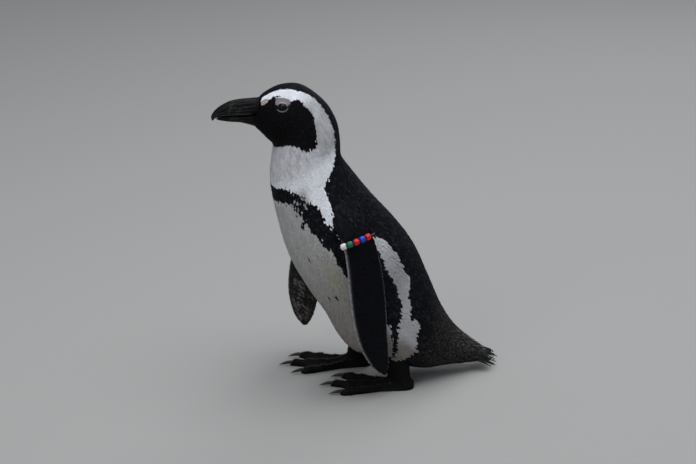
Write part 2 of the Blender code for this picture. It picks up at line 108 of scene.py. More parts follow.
def staggered(count, number, stray):
    # equal shares round a row, moved on by half a step in every second row, each a little astray
    return (np.arange(count) + 0.5 * (number % 2) + rng.uniform(-stray, stray, count)) / count


def makeMesh(name, points, *faceLists):
    # a mesh from an array of points and arrays of faces, each with its own number of corners
    mesh = bpy.data.meshes.new(name)
    corners = np.concatenate([faces.ravel() for faces in faceLists]).astype(np.int32)
    sizes = np.concatenate([np.full(len(faces), faces.shape[1]) for faces in faceLists])
    mesh.vertices.add(len(points))
    mesh.vertices.foreach_set("co", np.ascontiguousarray(points, np.float32).ravel())
    mesh.loops.add(len(corners))
    mesh.loops.foreach_set("vertex_index", corners)
    mesh.polygons.add(len(sizes))
    mesh.polygons.foreach_set("loop_start", (np.cumsum(sizes) - sizes).astype(np.int32))
    mesh.update(calc_edges=True)
    return mesh


def tubeFaces(rows, columns):
    # quads of a grid that closes across, and a fan of triangles at each end.
    # The points are the grid's rows, then one point for the first end and one for the last.
    r, c = np.meshgrid(np.arange(rows - 1), np.arange(columns), indexing="ij")
    a = (r * columns + c).ravel()
    b = (r * columns + (c + 1) % columns).ravel()
    quads = np.column_stack([a, b, b + columns, a + columns])
    c = np.arange(columns)
    n = (c + 1) % columns
    last = (rows - 1) * columns
    first = np.column_stack([n, c, np.full(columns, rows * columns)])
    end = np.column_stack([last + c, last + n, np.full(columns, rows * columns + 1)])
    return quads, np.vstack([first, end])


def withEnds(grid):
    # a tube's points or colours: those of its grid, then the means of its first and its last row
    return np.vstack([grid.reshape(-1, 3), grid[0].mean(0), grid[-1].mean(0)])


def tube(name, grid):
    # a closed skin over a grid of rings, (rows, columns, 3), with its faces outwards
    mesh = makeMesh(name, withEnds(grid), *tubeFaces(*grid.shape[:2]))
    faceOutwards(mesh)
    return mesh


def faceOutwards(mesh):
    # turns the faces of closed surfaces so that their normals point out
    shape = bmesh.new()
    shape.from_mesh(mesh)
    bmesh.ops.recalc_face_normals(shape, faces=shape.faces)
    shape.to_mesh(mesh)
    shape.free()


def ringMesh(name, grid):
    # a closed skin over a grid that closes in both directions, with its faces outwards
    rows, columns, _ = grid.shape
    r, c = np.meshgrid(np.arange(rows), np.arange(columns), indexing="ij")
    nextRow, nextColumn = (r + 1) % rows * columns, (c + 1) % columns
    faces = np.stack([r * columns + c, r * columns + nextColumn, nextRow + nextColumn, nextRow + c], -1)
    mesh = makeMesh(name, grid.reshape(-1, 3), faces.reshape(-1, 4))
    faceOutwards(mesh)
    mesh.shade_smooth()
    return mesh


def paint(mesh, colours):
    # one colour a point, kept in the attribute that the materials read
    layer = mesh.color_attributes.new("tint", "FLOAT_COLOR", "POINT")
    full = np.ones((len(colours), 4), np.float32)
    full[:, :3] = np.clip(colours, 0, 1)
    layer.data.foreach_set("color", full.ravel())


def tintedTube(name, grid, colours):
    # a smooth tube with a colour at each point of its grid
    mesh = tube(name, grid)
    paint(mesh, withEnds(colours))
    mesh.shade_smooth()
    return mesh


def colourTable(**colours):
    # named colours as arrays
    return {name: np.array(colour) for name, colour in colours.items()}


def addObject(name, data):
    # a new object in the scene, around a mesh, a lamp or a camera
    thing = bpy.data.objects.new(name, data)
    bpy.context.scene.collection.objects.link(thing)
    return thing


def addPiece(name, mesh, material, slot, *replaced):
    # a piece on the root body, with the nodes that it replaces; its slot is not used
    piece = addObject(name, mesh)
    mesh.materials.append(material)
    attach(piece, "root")
    if replaced:
        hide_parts(*replaced)
    return piece


def finished(thing, name):
    # the mesh of an object with its modifiers applied; the object itself is removed
    shown = thing.evaluated_get(bpy.context.evaluated_depsgraph_get())
    mesh = bpy.data.meshes.new_from_object(shown)
    mesh.name = name
    bpy.data.objects.remove(thing)
    return mesh


def meshPoints(mesh, kind="co"):
    # the places of all of a mesh's vertices, or their normals, one row each
    found = np.empty(len(mesh.vertices) * 3, np.float32)
    mesh.vertices.foreach_get(kind, found)
    return found.reshape(-1, 3).astype(float)


def addModifier(thing, kind, **settings):
    # a modifier with its settings, in the order given
    modifier = thing.modifiers.new(kind, kind)
    for name, value in settings.items():
        setattr(modifier, name, value)


def ontoSurface(points, surface):
    # for each point the nearest place on a surface
    flat = points.reshape(-1, 3)
    mesh = bpy.data.meshes.new("probe")
    mesh.vertices.add(len(flat))
    mesh.vertices.foreach_set("co", flat.astype(np.float32).ravel())
    probe = addObject("probe", mesh)
    addModifier(probe, "SHRINKWRAP", target=surface, wrap_method="NEAREST_SURFACEPOINT")
    moved = finished(probe, "probe")
    found = meshPoints(moved)
    bpy.data.meshes.remove(moved)
    return found.reshape(points.shape)


def setInputs(node, values):
    # even values on a node's inputs, by their names
    for name, value in values.items():
        node.inputs[name].default_value = value


studioSet = {
    "aim": (0, 0, 0.17), "sky": (0.86, 0.91, 1.0, 1), "skyStrength": 0.36,
    "floorHalf": 6.0, "floorRoughness": 0.85, "floor": (0.32, 0.315, 0.305, 1),
}
cameraSet = {"place": (2.36122, -0.64419, 0.97352), "down": 18, "round": 75, "lens": 113.79,
             "sensor": 36, "nearest": 0.05}
lightSet = {
    "top": {"place": (0.2, 0.1, 2.3), "size": 2.2, "power": 46, "colour": (0.95, 0.98, 1.0)},
    "key": {"place": (1.8, -2.0, 1.8), "size": 1.4, "power": 16, "colour": (1.0, 0.98, 0.95)},
    "back": {"place": (-1.7, 1.3, 1.5), "size": 1.2, "power": 12, "colour": (0.92, 0.96, 1.0)},
}


def buildCamera():
    # a camera at its place, turned round the bird and then down
    data = bpy.data.cameras.new("camera")
    data.sensor_width = cameraSet["sensor"]
    data.lens = cameraSet["lens"]
    data.clip_start = cameraSet["nearest"]
    camera = addObject("camera", data)
    camera.location = cameraSet["place"]
    camera.rotation_euler = (radians(90 - cameraSet["down"]), 0, radians(cameraSet["round"]))
    bpy.context.scene.camera = camera


def buildLights():
    # round lamps whose beams run from their places to the aim, and an even sky
    for name, lamp in lightSet.items():
        data = bpy.data.lights.new(name, "AREA")
        data.shape = "DISK"
        data.size = lamp["size"]
        data.energy = lamp["power"]
        data.color = lamp["colour"]
        light = addObject(name, data)
        light.location = lamp["place"]
        beam = light.location - type(light.location)(studioSet["aim"])
        light.rotation_euler = beam.to_track_quat("Z", "Y").to_euler()
    world = bpy.data.worlds.new("studio")
    world.use_nodes = True
    sky = {"Color": studioSet["sky"], "Strength": studioSet["skyStrength"]}
    setInputs(world.node_tree.nodes["Background"], sky)
    bpy.context.scene.world = world
    bpy.context.scene.view_settings.view_transform = "Standard"


def buildFloor():
    # a level square in one colour
    half = studioSet["floorHalf"]
    corners = np.array([(-half, -half, 0), (half, -half, 0), (half, half, 0), (-half, half, 0)])
    mesh = makeMesh("floor", corners, np.array([(0, 1, 2, 3)]))
    look = {"Roughness": studioSet["floorRoughness"], "Base Color": studioSet["floor"]}
    mesh.materials.append(newMaterial("floor", look)[0])
    floor = addObject("floor", mesh)


def newMaterial(name, values):
    # a material with its shader, nodes and links, and even values on the shader
    material = bpy.data.materials.new(name)
    material.use_nodes = True
    nodes = material.node_tree.nodes
    shader = nodes["Principled BSDF"]
    setInputs(shader, values)
    return material, shader, nodes, material.node_tree.links


def addNode(nodes, kind, values=None, **settings):
    # a shader node with its settings and the values of its inputs
    node = nodes.new("ShaderNode" + kind)
    for name, value in settings.items():
        setattr(node, name, value)
    setInputs(node, values or {})
    return node


def noiseOn(nodes, links, source, scale, detail=3.0):
    # a noise pattern on a coordinate output
    noise = addNode(nodes, "TexNoise", {"Scale": scale, "Detail": detail})
    links.new(source, noise.inputs["Vector"])
    return noise.outputs["Fac"]


def rangeOf(nodes, links, value, low, high):
    # a pattern's middle values brought to a range
    node = addNode(nodes, "MapRange", {"From Min": 0.3, "From Max": 0.7, "To Min": low, "To Max": high})
    links.new(value, node.inputs["Value"])
    return node.outputs["Result"]


def addRelief(nodes, links, shader, pattern, strength, height):
    # a bump on the shader from a pattern, its height in mm
    relief = addNode(nodes, "Bump", {"Strength": strength, "Distance": height * mm})
    links.new(pattern, relief.inputs["Height"])
    links.new(relief.outputs["Normal"], shader.inputs["Normal"])


def tintMaterial(name, look):
    # colour from the points' tint times a fine noise, and a bump from a second noise or from barbs
    material, shader, nodes, links = newMaterial(name, {
        "Roughness": look["roughness"], "Specular IOR Level": look["gloss"],
        "Coat Weight": look.get("coat", 0.0), "Coat Roughness": 0.08})
    where = addNode(nodes, "TexCoord").outputs["Object"]
    tint = addNode(nodes, "VertexColor", layer_name="tint")
    grain = noiseOn(nodes, links, where, look["grain"])
    factor = rangeOf(nodes, links, grain, 1 - look["change"], 1 + look["change"])
    colour = addNode(nodes, "VectorMath", operation="SCALE")
    links.new(tint.outputs["Color"], colour.inputs[0])
    links.new(factor, colour.inputs["Scale"])
    links.new(colour.outputs["Vector"], shader.inputs["Base Color"])
    if "barbs" in look:
        vane = addNode(nodes, "UVMap", uv_map="vane")
        barbs = addNode(nodes, "TexWave", {"Scale": look["barbs"], "Distortion": 1.5},
                        wave_type="BANDS", bands_direction="DIAGONAL")
        links.new(vane.outputs["UV"], barbs.inputs["Vector"])
        pattern = barbs.outputs["Fac"]
    else:
        pattern = noiseOn(nodes, links, where, look["pits"], 4.0)
    addRelief(nodes, links, shader, pattern, look["relief"], look["height"])
    return material


finishes = {
    "skin": {"roughness": 0.62, "gloss": 0.06, "grain": 700, "change": 0.18, "relief": 0.5,
             "height": 0.25, "pits": 1600},
    "feathers": {"roughness": 0.6, "gloss": 0.045, "grain": 420, "change": 0.10,
                 "relief": 0.35, "height": 0.04, "barbs": 5.0},
    "flipper_feathers": {"roughness": 0.5, "gloss": 0.05, "grain": 260, "change": 0.16,
                         "relief": 0.3, "height": 0.03, "barbs": 4.0},
    "tail_feathers": {"roughness": 0.55, "gloss": 0.09, "grain": 500, "change": 0.25,
                      "relief": 0.5, "height": 0.08, "pits": 1500},
    "foot_scales": {"roughness": 0.5, "gloss": 0.06, "grain": 500, "change": 0.25,
                    "relief": 0.4, "height": 0.08, "pits": 2200},
    "bill_horn": {"roughness": 0.42, "gloss": 0.09, "grain": 380, "change": 0.3,
                  "relief": 0.45, "height": 0.12, "pits": 900},
    "claw_horn": {"roughness": 0.36, "gloss": 0.3, "grain": 600, "change": 0.25,
                  "relief": 0.3, "height": 0.06, "pits": 1400},
    "eye": {"roughness": 0.12, "gloss": 0.12, "coat": 0.12, "grain": 1500, "change": 0.2,
            "relief": 0.0, "height": 0.01, "pits": 1500},
    "lid": {"roughness": 0.5, "gloss": 0.15, "grain": 900, "change": 0.12,
            "relief": 0.45, "height": 0.1, "pits": 2600},
}


# Back edge (y, z), underside (y, z) and half width of each section, from tail root to bill root.
bodySet = {
    "tailRoot": (166, 27, 160, 10, 12),
    "rump": (142, 54, 124, 9.5, 27),
    "vent": (120, 90, 92, 12, 44),
    "hips": (103, 130, 47, 27, 56),
    "belly": (86, 168, 6, 46, 61),
    "middle": (63, 200, -18, 86, 62),
    "breast": (35, 232, -40, 120, 59),
    "shoulders": (11, 263, -61, 160, 52),
    "neckRoot": (-0.5, 281, -75, 208, 43),
    "neck": (-1.5, 300, -83, 252, 36.5),
    "throat": (-6, 322, -80, 286, 33),
    "nape": (-20, 345, -79.5, 295, 30),
    "crown": (-45, 363.5, -86, 302, 28),
    "brow": (-68, 364.5, -91.5, 308, 23),
    "forehead": (-86, 356.5, -96.5, 313, 16.5),
    "billRoot": (-94, 350, -99.5, 315.5, 10.5),
}
bodyForm = {   # where the thighs begin and end, where the head narrows, and where the neck turns
    "square": 0.28, "thighs": (0.6, 2.2), "aboveThighs": (6.0, 3.4),
    "narrow": 0.06, "headNarrow": 0.10, "head": (9, 13), "turn": (8.0, 11.5),
}
bodyRows = np.array(list(bodySet.values()), float) * mm
billEnd = len(bodyRows) - 1.0
coatDepth = ((0, 2.0), (8, 2.0), (10, 1.5), (11.5, 1.0), (13, 0.8), (15, 0.3))   # place, mm


def turnHead(points, angle):
    # turned about the neck's upright axis, so that the bill goes to the bird's right
    x = points[..., 0]
    y = points[..., 1] - neckAxisY
    return np.stack([x * np.cos(angle) + y * np.sin(angle),
                     neckAxisY - x * np.sin(angle) + y * np.cos(angle),
                     points[..., 2]], -1)


def bodyPoint(t, phi, depth=0.0):
    # An oval between the back edge and the underside at place t. phi goes from the back (0)
    # over the left side to the underside (pi). The thighs square the lower half out, and the
    # head and neck are narrower towards the back. depth moves the surface inwards.
    t, phi, depth = np.broadcast_arrays(np.asarray(t, float), np.asarray(phi, float), depth)
    row = throughRows(bodyRows, t)
    back, under, width = row[..., 0:2], row[..., 2:4], row[..., 4]
    half = (back - under) / 2
    halfHeight = np.linalg.norm(half, axis=-1)
    square = bodyForm["square"] * ease(*bodyForm["thighs"], t) * ease(*bodyForm["aboveThighs"], t)
    power = np.where(np.cos(phi) < 0, 1 - square, 1.0)
    across = np.sign(np.sin(phi)) * np.abs(np.sin(phi)) ** power
    rise = np.sign(np.cos(phi)) * np.abs(np.cos(phi)) ** power
    narrow = bodyForm["narrow"] + bodyForm["headNarrow"] * ease(*bodyForm["head"], t)
    x = (width - depth) * across * (1 - narrow * np.cos(phi))
    yz = (back + under) / 2 + half * (rise * (1 - depth / halfHeight))[..., None]
    points = np.stack([x, yz[..., 0], yz[..., 1]], -1)
    return turnHead(points, headTurn * ease(*bodyForm["turn"], t)) + fromFeet


def turnWay(*direction):
    # a direction turned with the head
    axis = np.array((0, neckAxisY, 0))
    return turnHead(direction + axis, headTurn) - axis


def depthAt(t):
    # how far the coat stands off the skin
    return readTable(coatDepth, t) * mm


# Outlines in body places: (place along the body, degrees from the middle of the back).
markings = {
    "headWhite": [(14.55, 42), (14.35, 33), (14.0, 31), (13, 30), (12.1, 33), (11.5, 26),
                  (10.5, 33), (9.3, 37), (8.7, 43), (8.35, 50), (8.05, 76), (7.4, 79), (7.0, 82),
                  (6.85, 89), (6.4, 90), (6.95, 92), (7.8, 97),
                  (8.05, 107), (8.3, 112), (8.5, 121), (8.8, 138), (8.85, 160), (8.95, 182), (10.85, 182),
                  (10.6, 155), (10.35, 126), (10.0, 110), (9.62, 95), (9.62, 78), (10.15, 72),
                  (10.65, 65), (10.95, 59), (11.4, 55.5), (11.85, 50), (12.1, 57), (12.3, 70), (12.95, 66),
                  (13.0, 53), (13.6, 54), (13.7, 61), (13.95, 65), (14.15, 66), (14.4, 57), (14.55, 49)],
    "belly": [(8.5, 182), (8.45, 158), (8.35, 138), (8.0, 128), (7.75, 121), (7.35, 117), (7.0, 111),
              (6.4, 106), (5.8, 109), (4.9, 104), (4.1, 100), (3.75, 98), (3.5, 107), (3.3, 119),
              (3.15, 130), (3.2, 140), (3.5, 148), (3.9, 158), (3.5, 182)],
    "flank": [(5.7, 62), (5.55, 57), (5.3, 53), (4.85, 51.3), (4.4, 55), (3.95, 57.5), (3.8, 65),
              (3.5, 76), (3.3, 86), (2.97, 82), (2.8, 94), (2.6, 109), (2.75, 126), (2.95, 150),
              (3.1, 127), (3.2, 115), (3.4, 102), (3.65, 89), (3.9, 79), (4.3, 74), (4.9, 73),
              (5.25, 67), (5.7, 66.5)],
}
darkMarks = {   # small black places inside the white: place, degrees, half sizes
    "lore": (13.32, 55, 0.12, 7.0),
    "browArc": (13.1, 50.5, 0.25, 1.6),
    "neckSpot": (7.62, 125, 0.095, 2.0),
    "bellySpot": (6.82, 136.3, 0.075, 1.7),
    "lowSpot": (5.5, 134, 0.08, 1.7),
    "faintSpot": (5.6, 146, 0.06, 1.5),
}
bareShapes = {   # bare skin round the eye and beside the bill
    "eye": [(13.14, 54), (13.1, 64), (13.0, 72), (12.25, 70), (12.15, 65), (12.17, 60), (12.35, 56),
            (12.75, 54)],
    "lore": [(14.6, 46), (14.4, 58), (14.14, 65.5), (13.95, 64.5), (13.71, 60.5), (13.64, 53),
             (13.9, 46)],
}
# The neck, throat, flank, belly and low belly colours are the white darkened with painted shade. The neck and
# throat are also grey of their own, and the low belly's warm tint is dirt. The back's and the face's tip
# colours carry a painted sheen; the rump's tips are worn.
coatTints = colourTable(
    back=(0.0042, 0.0044, 0.0065), backTip=(0.013, 0.0135, 0.018),
    face=(0.0025, 0.0025, 0.003), faceTip=(0.0065, 0.0065, 0.0075),
    rump=(0.0065, 0.006, 0.006), rumpTip=(0.036, 0.034, 0.033),
    bright=(0.80, 0.82, 0.87), flank=(0.46, 0.46, 0.48), neck=(0.42, 0.42, 0.435),
    throat=(0.52, 0.52, 0.55), belly=(0.42, 0.42, 0.415), lowBelly=(0.24, 0.22, 0.20),
    stain=(0.34, 0.345, 0.19), bare=(0.205, 0.178, 0.205), bareLore=(0.33, 0.275, 0.285),
    skinDark=(0.006, 0.006, 0.007), skinPale=(0.40, 0.38, 0.37))
# Most of the changes on the white bring in painted shade, on the neck, throat, flank and belly, and one
# brings painted light to the upper flank.
coatZones = {   # start and end of each change, in places along the body or degrees from the back
    "face": (9.3, 9.9), "faceSide": (44, 56), "rump": (3.0, 1.9), "neck": (8.6, 9.3), "head": (12.1, 11.1),
    "throatSide": (62, 85), "flank": (6.9, 6.2), "flankTopPaintedLight": (5.0, 5.5), "lowBelly": (8.0, 3.6),
    "chest": (8.7, 8.3), "bellySide": (98, 112),
}
# The flank's dark band among these marks is painted shade.
coatMarks = {   # centres and spreads, and the sizes of the patches in mm
    "raggedAt": (8.4, 1.2), "flankPaintedShade": (4.4, 0.6), "stainAt": (5.95, 0.5),
    "stainLine": (121, 2.0), "stainBeside": (127, 1.6), "streak": 7, "wisp": 2.6,
    "specksAt": 8.15, "specksHalf": 0.25, "specksSide": 121, "specksHalfSide": 11, "specksShare": 0.22,
}


def zone(name, value):
    # 0 where a change of the coat starts and 1 where it ends
    return ease(*coatZones[name], value)


def inside(t, degrees, outline):
    # whether each place lies in an outline: the number of edges crossed on the way out is odd
    found = np.zeros(t.shape, bool)
    for (t0, d0), (t1, d1) in zip(outline, outline[1:] + outline[:1]):
        if d0 == d1:
            continue
        between = (d0 > degrees) != (d1 > degrees)
        cross = t0 + (degrees - d0) * (t1 - t0) / (d1 - d0)
        found ^= between & (t < cross)
    return found


def foldDegrees(phi):
    # degrees from the middle of the back, the same on both sides
    degrees = np.degrees(phi) % 360
    return np.minimum(degrees, 360 - degrees)


def isWhite(t, degrees, stray=(0, 0)):
    # in a marking, whose edge the stray roughens, and in none of the small dark places
    white = np.zeros(t.shape, bool)
    for outline in markings.values():
        white |= inside(t + stray[0], degrees + stray[1], outline)
    for t0, d0, tSize, dSize in darkMarks.values():
        white &= ((t - t0) / tSize) ** 2 + ((degrees - d0) / dSize) ** 2 > 1
    return white


def isBare(t, degrees):
    # in either patch of bare skin
    return inside(t, degrees, bareShapes["eye"]) | inside(t, degrees, bareShapes["lore"])


def coatColours(t, phi, points):
    # Colours of the root and the tip of a feather that shows at this place. White is brightest
    # over the eye and on the shoulders. Elsewhere painted shade darkens it: greyer on the neck and
    # throat, on top of their own grey, darker on the flank's narrow middle and down the belly, where
    # the low belly's warm tint is dirt; painted light brightens the upper flank. A few white tips
    # are strewn beside the chest band. Chance lightens some of the dark tips: a painted sheen on
    # the back and face, and wear on the rump.
    marks = coatMarks
    degrees = foldDegrees(phi)
    ragged = 0.8 + 0.9 * bump(*marks["raggedAt"], t)
    stray = (rng.normal(0, 0.014, t.shape), rng.normal(0, 1, t.shape) * ragged)
    speckled = (np.abs(t - marks["specksAt"]) < marks["specksHalf"]) & (
        np.abs(degrees - marks["specksSide"]) < marks["specksHalfSide"])
    speckled &= rng.random(t.shape) < marks["specksShare"]
    white = isWhite(t, degrees, stray)
    chance = rng.random(t.shape)
    face = zone("face", t) * zone("faceSide", degrees)
    rump = zone("rump", t)
    dark = mix(mix(coatTints["back"], coatTints["rump"], rump), coatTints["face"], face)
    # painted sheen: the back's and the face's tips are lighter than their roots, and chance lightens some of
    # them further; on the rump the lighter tips are wear
    darkTip = mix(mix(coatTints["backTip"], coatTints["rumpTip"], rump), coatTints["faceTip"], face)
    sheenAndWear = (0.05 + 2.3 * chance ** 4) * (1 - rump) + (0.2 + 1.1 * chance ** 2) * rump
    darkTip = mix(dark, darkTip, sheenAndWear)
    streak = cloud(points * (1, 1, 0.45), marks["streak"] * mm)
    x, y, z = points.T
    wisp = np.column_stack([x, 0.8 * y + 0.6 * z, 0.22 * (0.6 * y - 0.8 * z)])   # long down the neck
    wisp = cloud(wisp, marks["wisp"] * mm)
    # painted shade greys the white of the neck and throat, on top of their own grey
    neck = zone("neck", t) * zone("head", t) * (1 + 0.3 * np.minimum(streak, 0))
    pale = mix(coatTints["neck"], coatTints["throat"], zone("throatSide", degrees))
    pale = mix(coatTints["bright"], pale, neck)
    # painted shade darkens the flank's narrow middle, and painted light brightens its upper part
    flankLightAndShade = 1 - 0.35 * bump(*marks["flankPaintedShade"], t) + 0.25 * zone("flankTopPaintedLight", t)
    pale = mix(pale, coatTints["flank"] * flankLightAndShade[..., None], zone("flank", t))
    # painted shade: the white greyer down the belly and darker low on it, where its warm tint is dirt
    below = mix(coatTints["belly"], coatTints["lowBelly"], zone("lowBelly", t))
    pale = mix(pale, below, zone("chest", t) * zone("bellySide", degrees))
    stain = bump(*marks["stainLine"], degrees) + 0.8 * bump(*marks["stainBeside"], degrees + 4 * (t - 6))
    stain = 0.75 * stain * bump(*marks["stainAt"], t)
    pale = mix(pale, coatTints["stain"], stain)
    pale = pale * (1 + 0.05 * streak + 0.13 * wisp * neck - 0.07 * chance)[..., None]
    return mix(dark, pale * 0.96, white), mix(darkTip, pale, white ^ speckled)


def skinColours(t, phi):
    # the skin's colours: dark or pale as the feathers over it, and pink where it is bare
    degrees = foldDegrees(phi)
    tint = mix(coatTints["skinDark"], coatTints["skinPale"], isWhite(t, degrees))
    tint = mix(tint, coatTints["bare"], inside(t, degrees, bareShapes["eye"]))
    return mix(tint, coatTints["bareLore"], inside(t, degrees, bareShapes["lore"]))


# Middle of the blade (x, y, z), width, thickness and twist, from inside the shoulder to the tip.
flipperRows = np.array([
    (36, -4, 232, 30, 20, 0), (50, -3, 219, 36, 19, 4), (61, 0, 205, 38, 15, 8),
    (67, 4, 189, 39, 12.5, 10), (69.5, 8, 168, 42, 10.5, 12), (70.5, 11.5, 140, 45, 9, 14),
    (70.5, 15, 108, 45, 8, 16), (69.5, 20, 76, 39, 7, 18), (68, 27, 52, 29, 5.6, 20),
    (67, 32, 39, 19, 4.4, 20), (66.5, 35, 31.5, 8, 3.2, 20)], float)
flipperSet = {"shoulder": (-50, -3, 218), "forward": 16, "out": 12, "coat": 0.5, "blotches": (8, 2.5),
              "frontRim": (0.05, 0.24), "rearRim": (0, 0.17)}      # angle and spread
flipperTints = colourTable(
    outer=(0.0030, 0.0031, 0.0045), outerTip=(0.006, 0.0063, 0.009),
    inner=(0.009, 0.0086, 0.0082), innerTip=(0.050, 0.047, 0.043),
    innerPale=(0.22, 0.21, 0.195), rim=(0.34, 0.35, 0.38))


def swingRight(points):
    # the left flipper's points mirrored, swung forwards and then out about the right shoulder
    shoulder = np.array(flipperSet["shoulder"]) * mm
    a = -radians(flipperSet["forward"])
    b = radians(flipperSet["out"])
    aboutX = np.array([(1, 0, 0), (0, np.cos(a), -np.sin(a)), (0, np.sin(a), np.cos(a))])
    aboutY = np.array([(np.cos(b), 0, np.sin(b)), (0, 1, 0), (-np.sin(b), 0, np.cos(b))])
    return (points * (-1, 1, 1) - shoulder) @ (aboutY @ aboutX).T + shoulder


def flipperFrame(place):
    # middle, chord, normal, width and thickness of the left flipper at places along it
    row = throughRows(flipperRows, place)
    ahead = throughRows(flipperRows, place + 0.4)
    behind = throughRows(flipperRows, place - 0.4)
    down = unit(ahead[..., :3] - behind[..., :3])
    twist = np.radians(row[..., 5])
    chord = np.stack([np.sin(twist), -np.cos(twist), np.zeros_like(twist)], -1)
    chord = unit(chord - down * (chord * down).sum(-1, keepdims=True))
    normal = np.cross(chord, down)
    return row[..., :3] * mm, chord, normal, row[..., 3] * mm, row[..., 4] * mm


def flipperPoint(place, angle, side, depth=0.0):
    # A blade section: angle 0 is the blunt front edge, a quarter turn the outer face and a half
    # turn the thin rear edge.
    place, angle = np.broadcast_arrays(np.asarray(place, float), np.asarray(angle, float))
    middle, chord, normal, width, thickness = flipperFrame(place)
    across = np.cos(angle) * (width / 2 - depth)
    through = np.sin(angle) * (0.64 + 0.36 * np.cos(angle)) * (thickness / 2 - depth)
    points = middle + chord * across[..., None] + normal * through[..., None]
    if side < 0:
        points = swingRight(points)
    return points + fromFeet


def flipperColours(place, angle, points, chance):
    # bluish black outside, blotched inside, with a thin pale rim along both edges
    front = bump(*flipperSet["frontRim"], np.angle(np.exp(1j * angle)))
    rear = bump(*flipperSet["rearRim"], np.angle(np.exp(1j * (angle - pi))))
    inner = ease(0.1, -0.1, np.sin(angle))
    large, small = flipperSet["blotches"]
    blotch = 0.7 * cloud(points * (1, 1, 0.6), large * mm) + 0.8 * cloud(points, small * mm)
    pale = inner * ease(-0.35, 0.8, blotch) * ease(0.95, 0.6, np.abs(np.cos(angle))) * ease(9.8, 9.0, place)
    pale = pale * (0.3 + 0.7 * ease(5.4, 7.0, place) * ease(-0.8, 0.2, np.cos(angle)))
    root = mix(mix(flipperTints["outer"], flipperTints["inner"], inner), flipperTints["innerPale"],
               pale * 0.6)
    tip = mix(flipperTints["outerTip"] * (0.4 + chance)[..., None], flipperTints["innerTip"],
              inner * (0.2 + 0.6 * chance))
    tip = mix(tip, flipperTints["innerPale"], pale * (0.3 + 0.7 * chance))
    rim = np.clip(front * ease(1.9, 3.0, place) + rear * 0.5 * ease(3.2, 4.2, place), 0, 1)
    return mix(root, flipperTints["rim"], rim * 0.8), mix(tip, flipperTints["rim"], rim)


footSet = {
    "length": 99, "sideToe": 87, "web": 80, "halfWidth": 31, "heelHalfWidth": 12, "heelHeight": 17,
    "toeHeight": 8.5, "webHeight": 3, "toeBase": 38, "sideLane": 0.84, "tipRound": 6,
    "jointHeight": 0.7, "jointStep": 7.5, "joints": (50, 60),
    "left": {"heel": (45, 77), "turn": -17, "legTopBack": -10},
    "right": {"heel": (-42, 49), "turn": -11, "legTopBack": 10},
}
legSet = {"top": 62, "topRadius": 17, "footRadius": 11.5, "lean": 10, "bottom": 9, "forward": 17}
footTints = colourTable(
    skin=(0.0045, 0.0044, 0.0044), scale=(0.007, 0.0066, 0.0066), scaleTop=(0.032, 0.030, 0.028),
    leg=(0.0035, 0.0035, 0.0038), legTip=(0.010, 0.0095, 0.009))


def placeFoot(points, side):
    # from the foot's own frame, heel at the origin and toes along -Y, to the bird's frame: turned
    # about the heel, then moved
    turn = radians(footSet[side]["turn"])
    x, y, z = np.moveaxis(points, -1, 0)
    heel = np.array((*footSet[side]["heel"], 0.0)) * mm
    turned = np.stack([x * np.cos(turn) - y * np.sin(turn), x * np.sin(turn) + y * np.cos(turn), z], -1)
    return turned + heel + fromFeet


def strandLength(lane):
    # how far the foot reaches forward on a line at a share across it: long at each toe
    toe = bump(0, 0.16, lane)
    sideToe = bump(footSet["sideLane"], 0.13, np.abs(lane))
    return (footSet["web"] + (footSet["length"] - footSet["web"]) * toe
            + (footSet["sideToe"] - footSet["web"]) * sideToe) * mm


def footHalfWidth(forward):
    # round at the heel and even along the shank, then spreading towards the toes
    heel = footSet["heelHalfWidth"] * np.sqrt(np.clip(forward / (10 * mm) + 0.12, 0, 1))
    spread = ease((footSet["toeBase"] - 14) * mm, footSet["sideToe"] * mm, forward)
    return (heel + (footSet["halfWidth"] - footSet["heelHalfWidth"]) * spread) * mm


def toeShare(lane):
    # 1 on the ridge of a toe, 0 on the web
    return np.maximum(bump(0, 0.17, lane), bump(footSet["sideLane"], 0.15, np.abs(lane)))


def footTop(forward, lane):
    # an arched shank end that flattens into three toes and a web between them; the toes have
    # joints, which stand up a little
    toes = toeShare(lane)
    start, end = footSet["joints"]
    joints = footSet["jointHeight"] * toes * np.cos(forward / (footSet["jointStep"] * mm) * pi)
    joints = joints * ease(start * mm, end * mm, forward)
    flat = footSet["webHeight"] + (footSet["toeHeight"] - footSet["webHeight"]) * toes + joints - 0.5 * toes
    arch = 2 + (footSet["heelHeight"] - 2) * np.sqrt(np.maximum(1 - lane ** 2, 0))
    slope = np.minimum(1.0, 0.5 + forward / (24 * mm))
    spread = ease((footSet["toeBase"] - 20) * mm, (footSet["toeBase"] + 12) * mm, forward)
    return (arch * slope * (1 - spread) + flat * spread) * mm


def footPoint(share, lane, up):
    # on a fan of strands from the heel, rounded off at their ends; up is 1 on top and 0 at the sole
    reach = strandLength(lane)
    forward = share * reach
    past = np.clip(1 + (forward - reach) / (footSet["tipRound"] * mm), 0, 1)
    height = footTop(forward, lane) * np.sqrt(1 - 0.97 * past ** 2)
    return np.stack([lane * footHalfWidth(forward), -forward, height * up], -1)


def footMesh(side):
    # a height field over the strands, closed by a flat sole: each strand is a closed loop
    lanes = np.linspace(-1, 1, 61)
    shares = np.linspace(0, 1, 70)
    upper = footPoint(shares[None, :], lanes[:, None], 1.0)
    lower = footPoint(shares[None, ::-1], lanes[:, None], 0.0)
    return tube("foot", placeFoot(np.concatenate([upper, lower], 1), side))


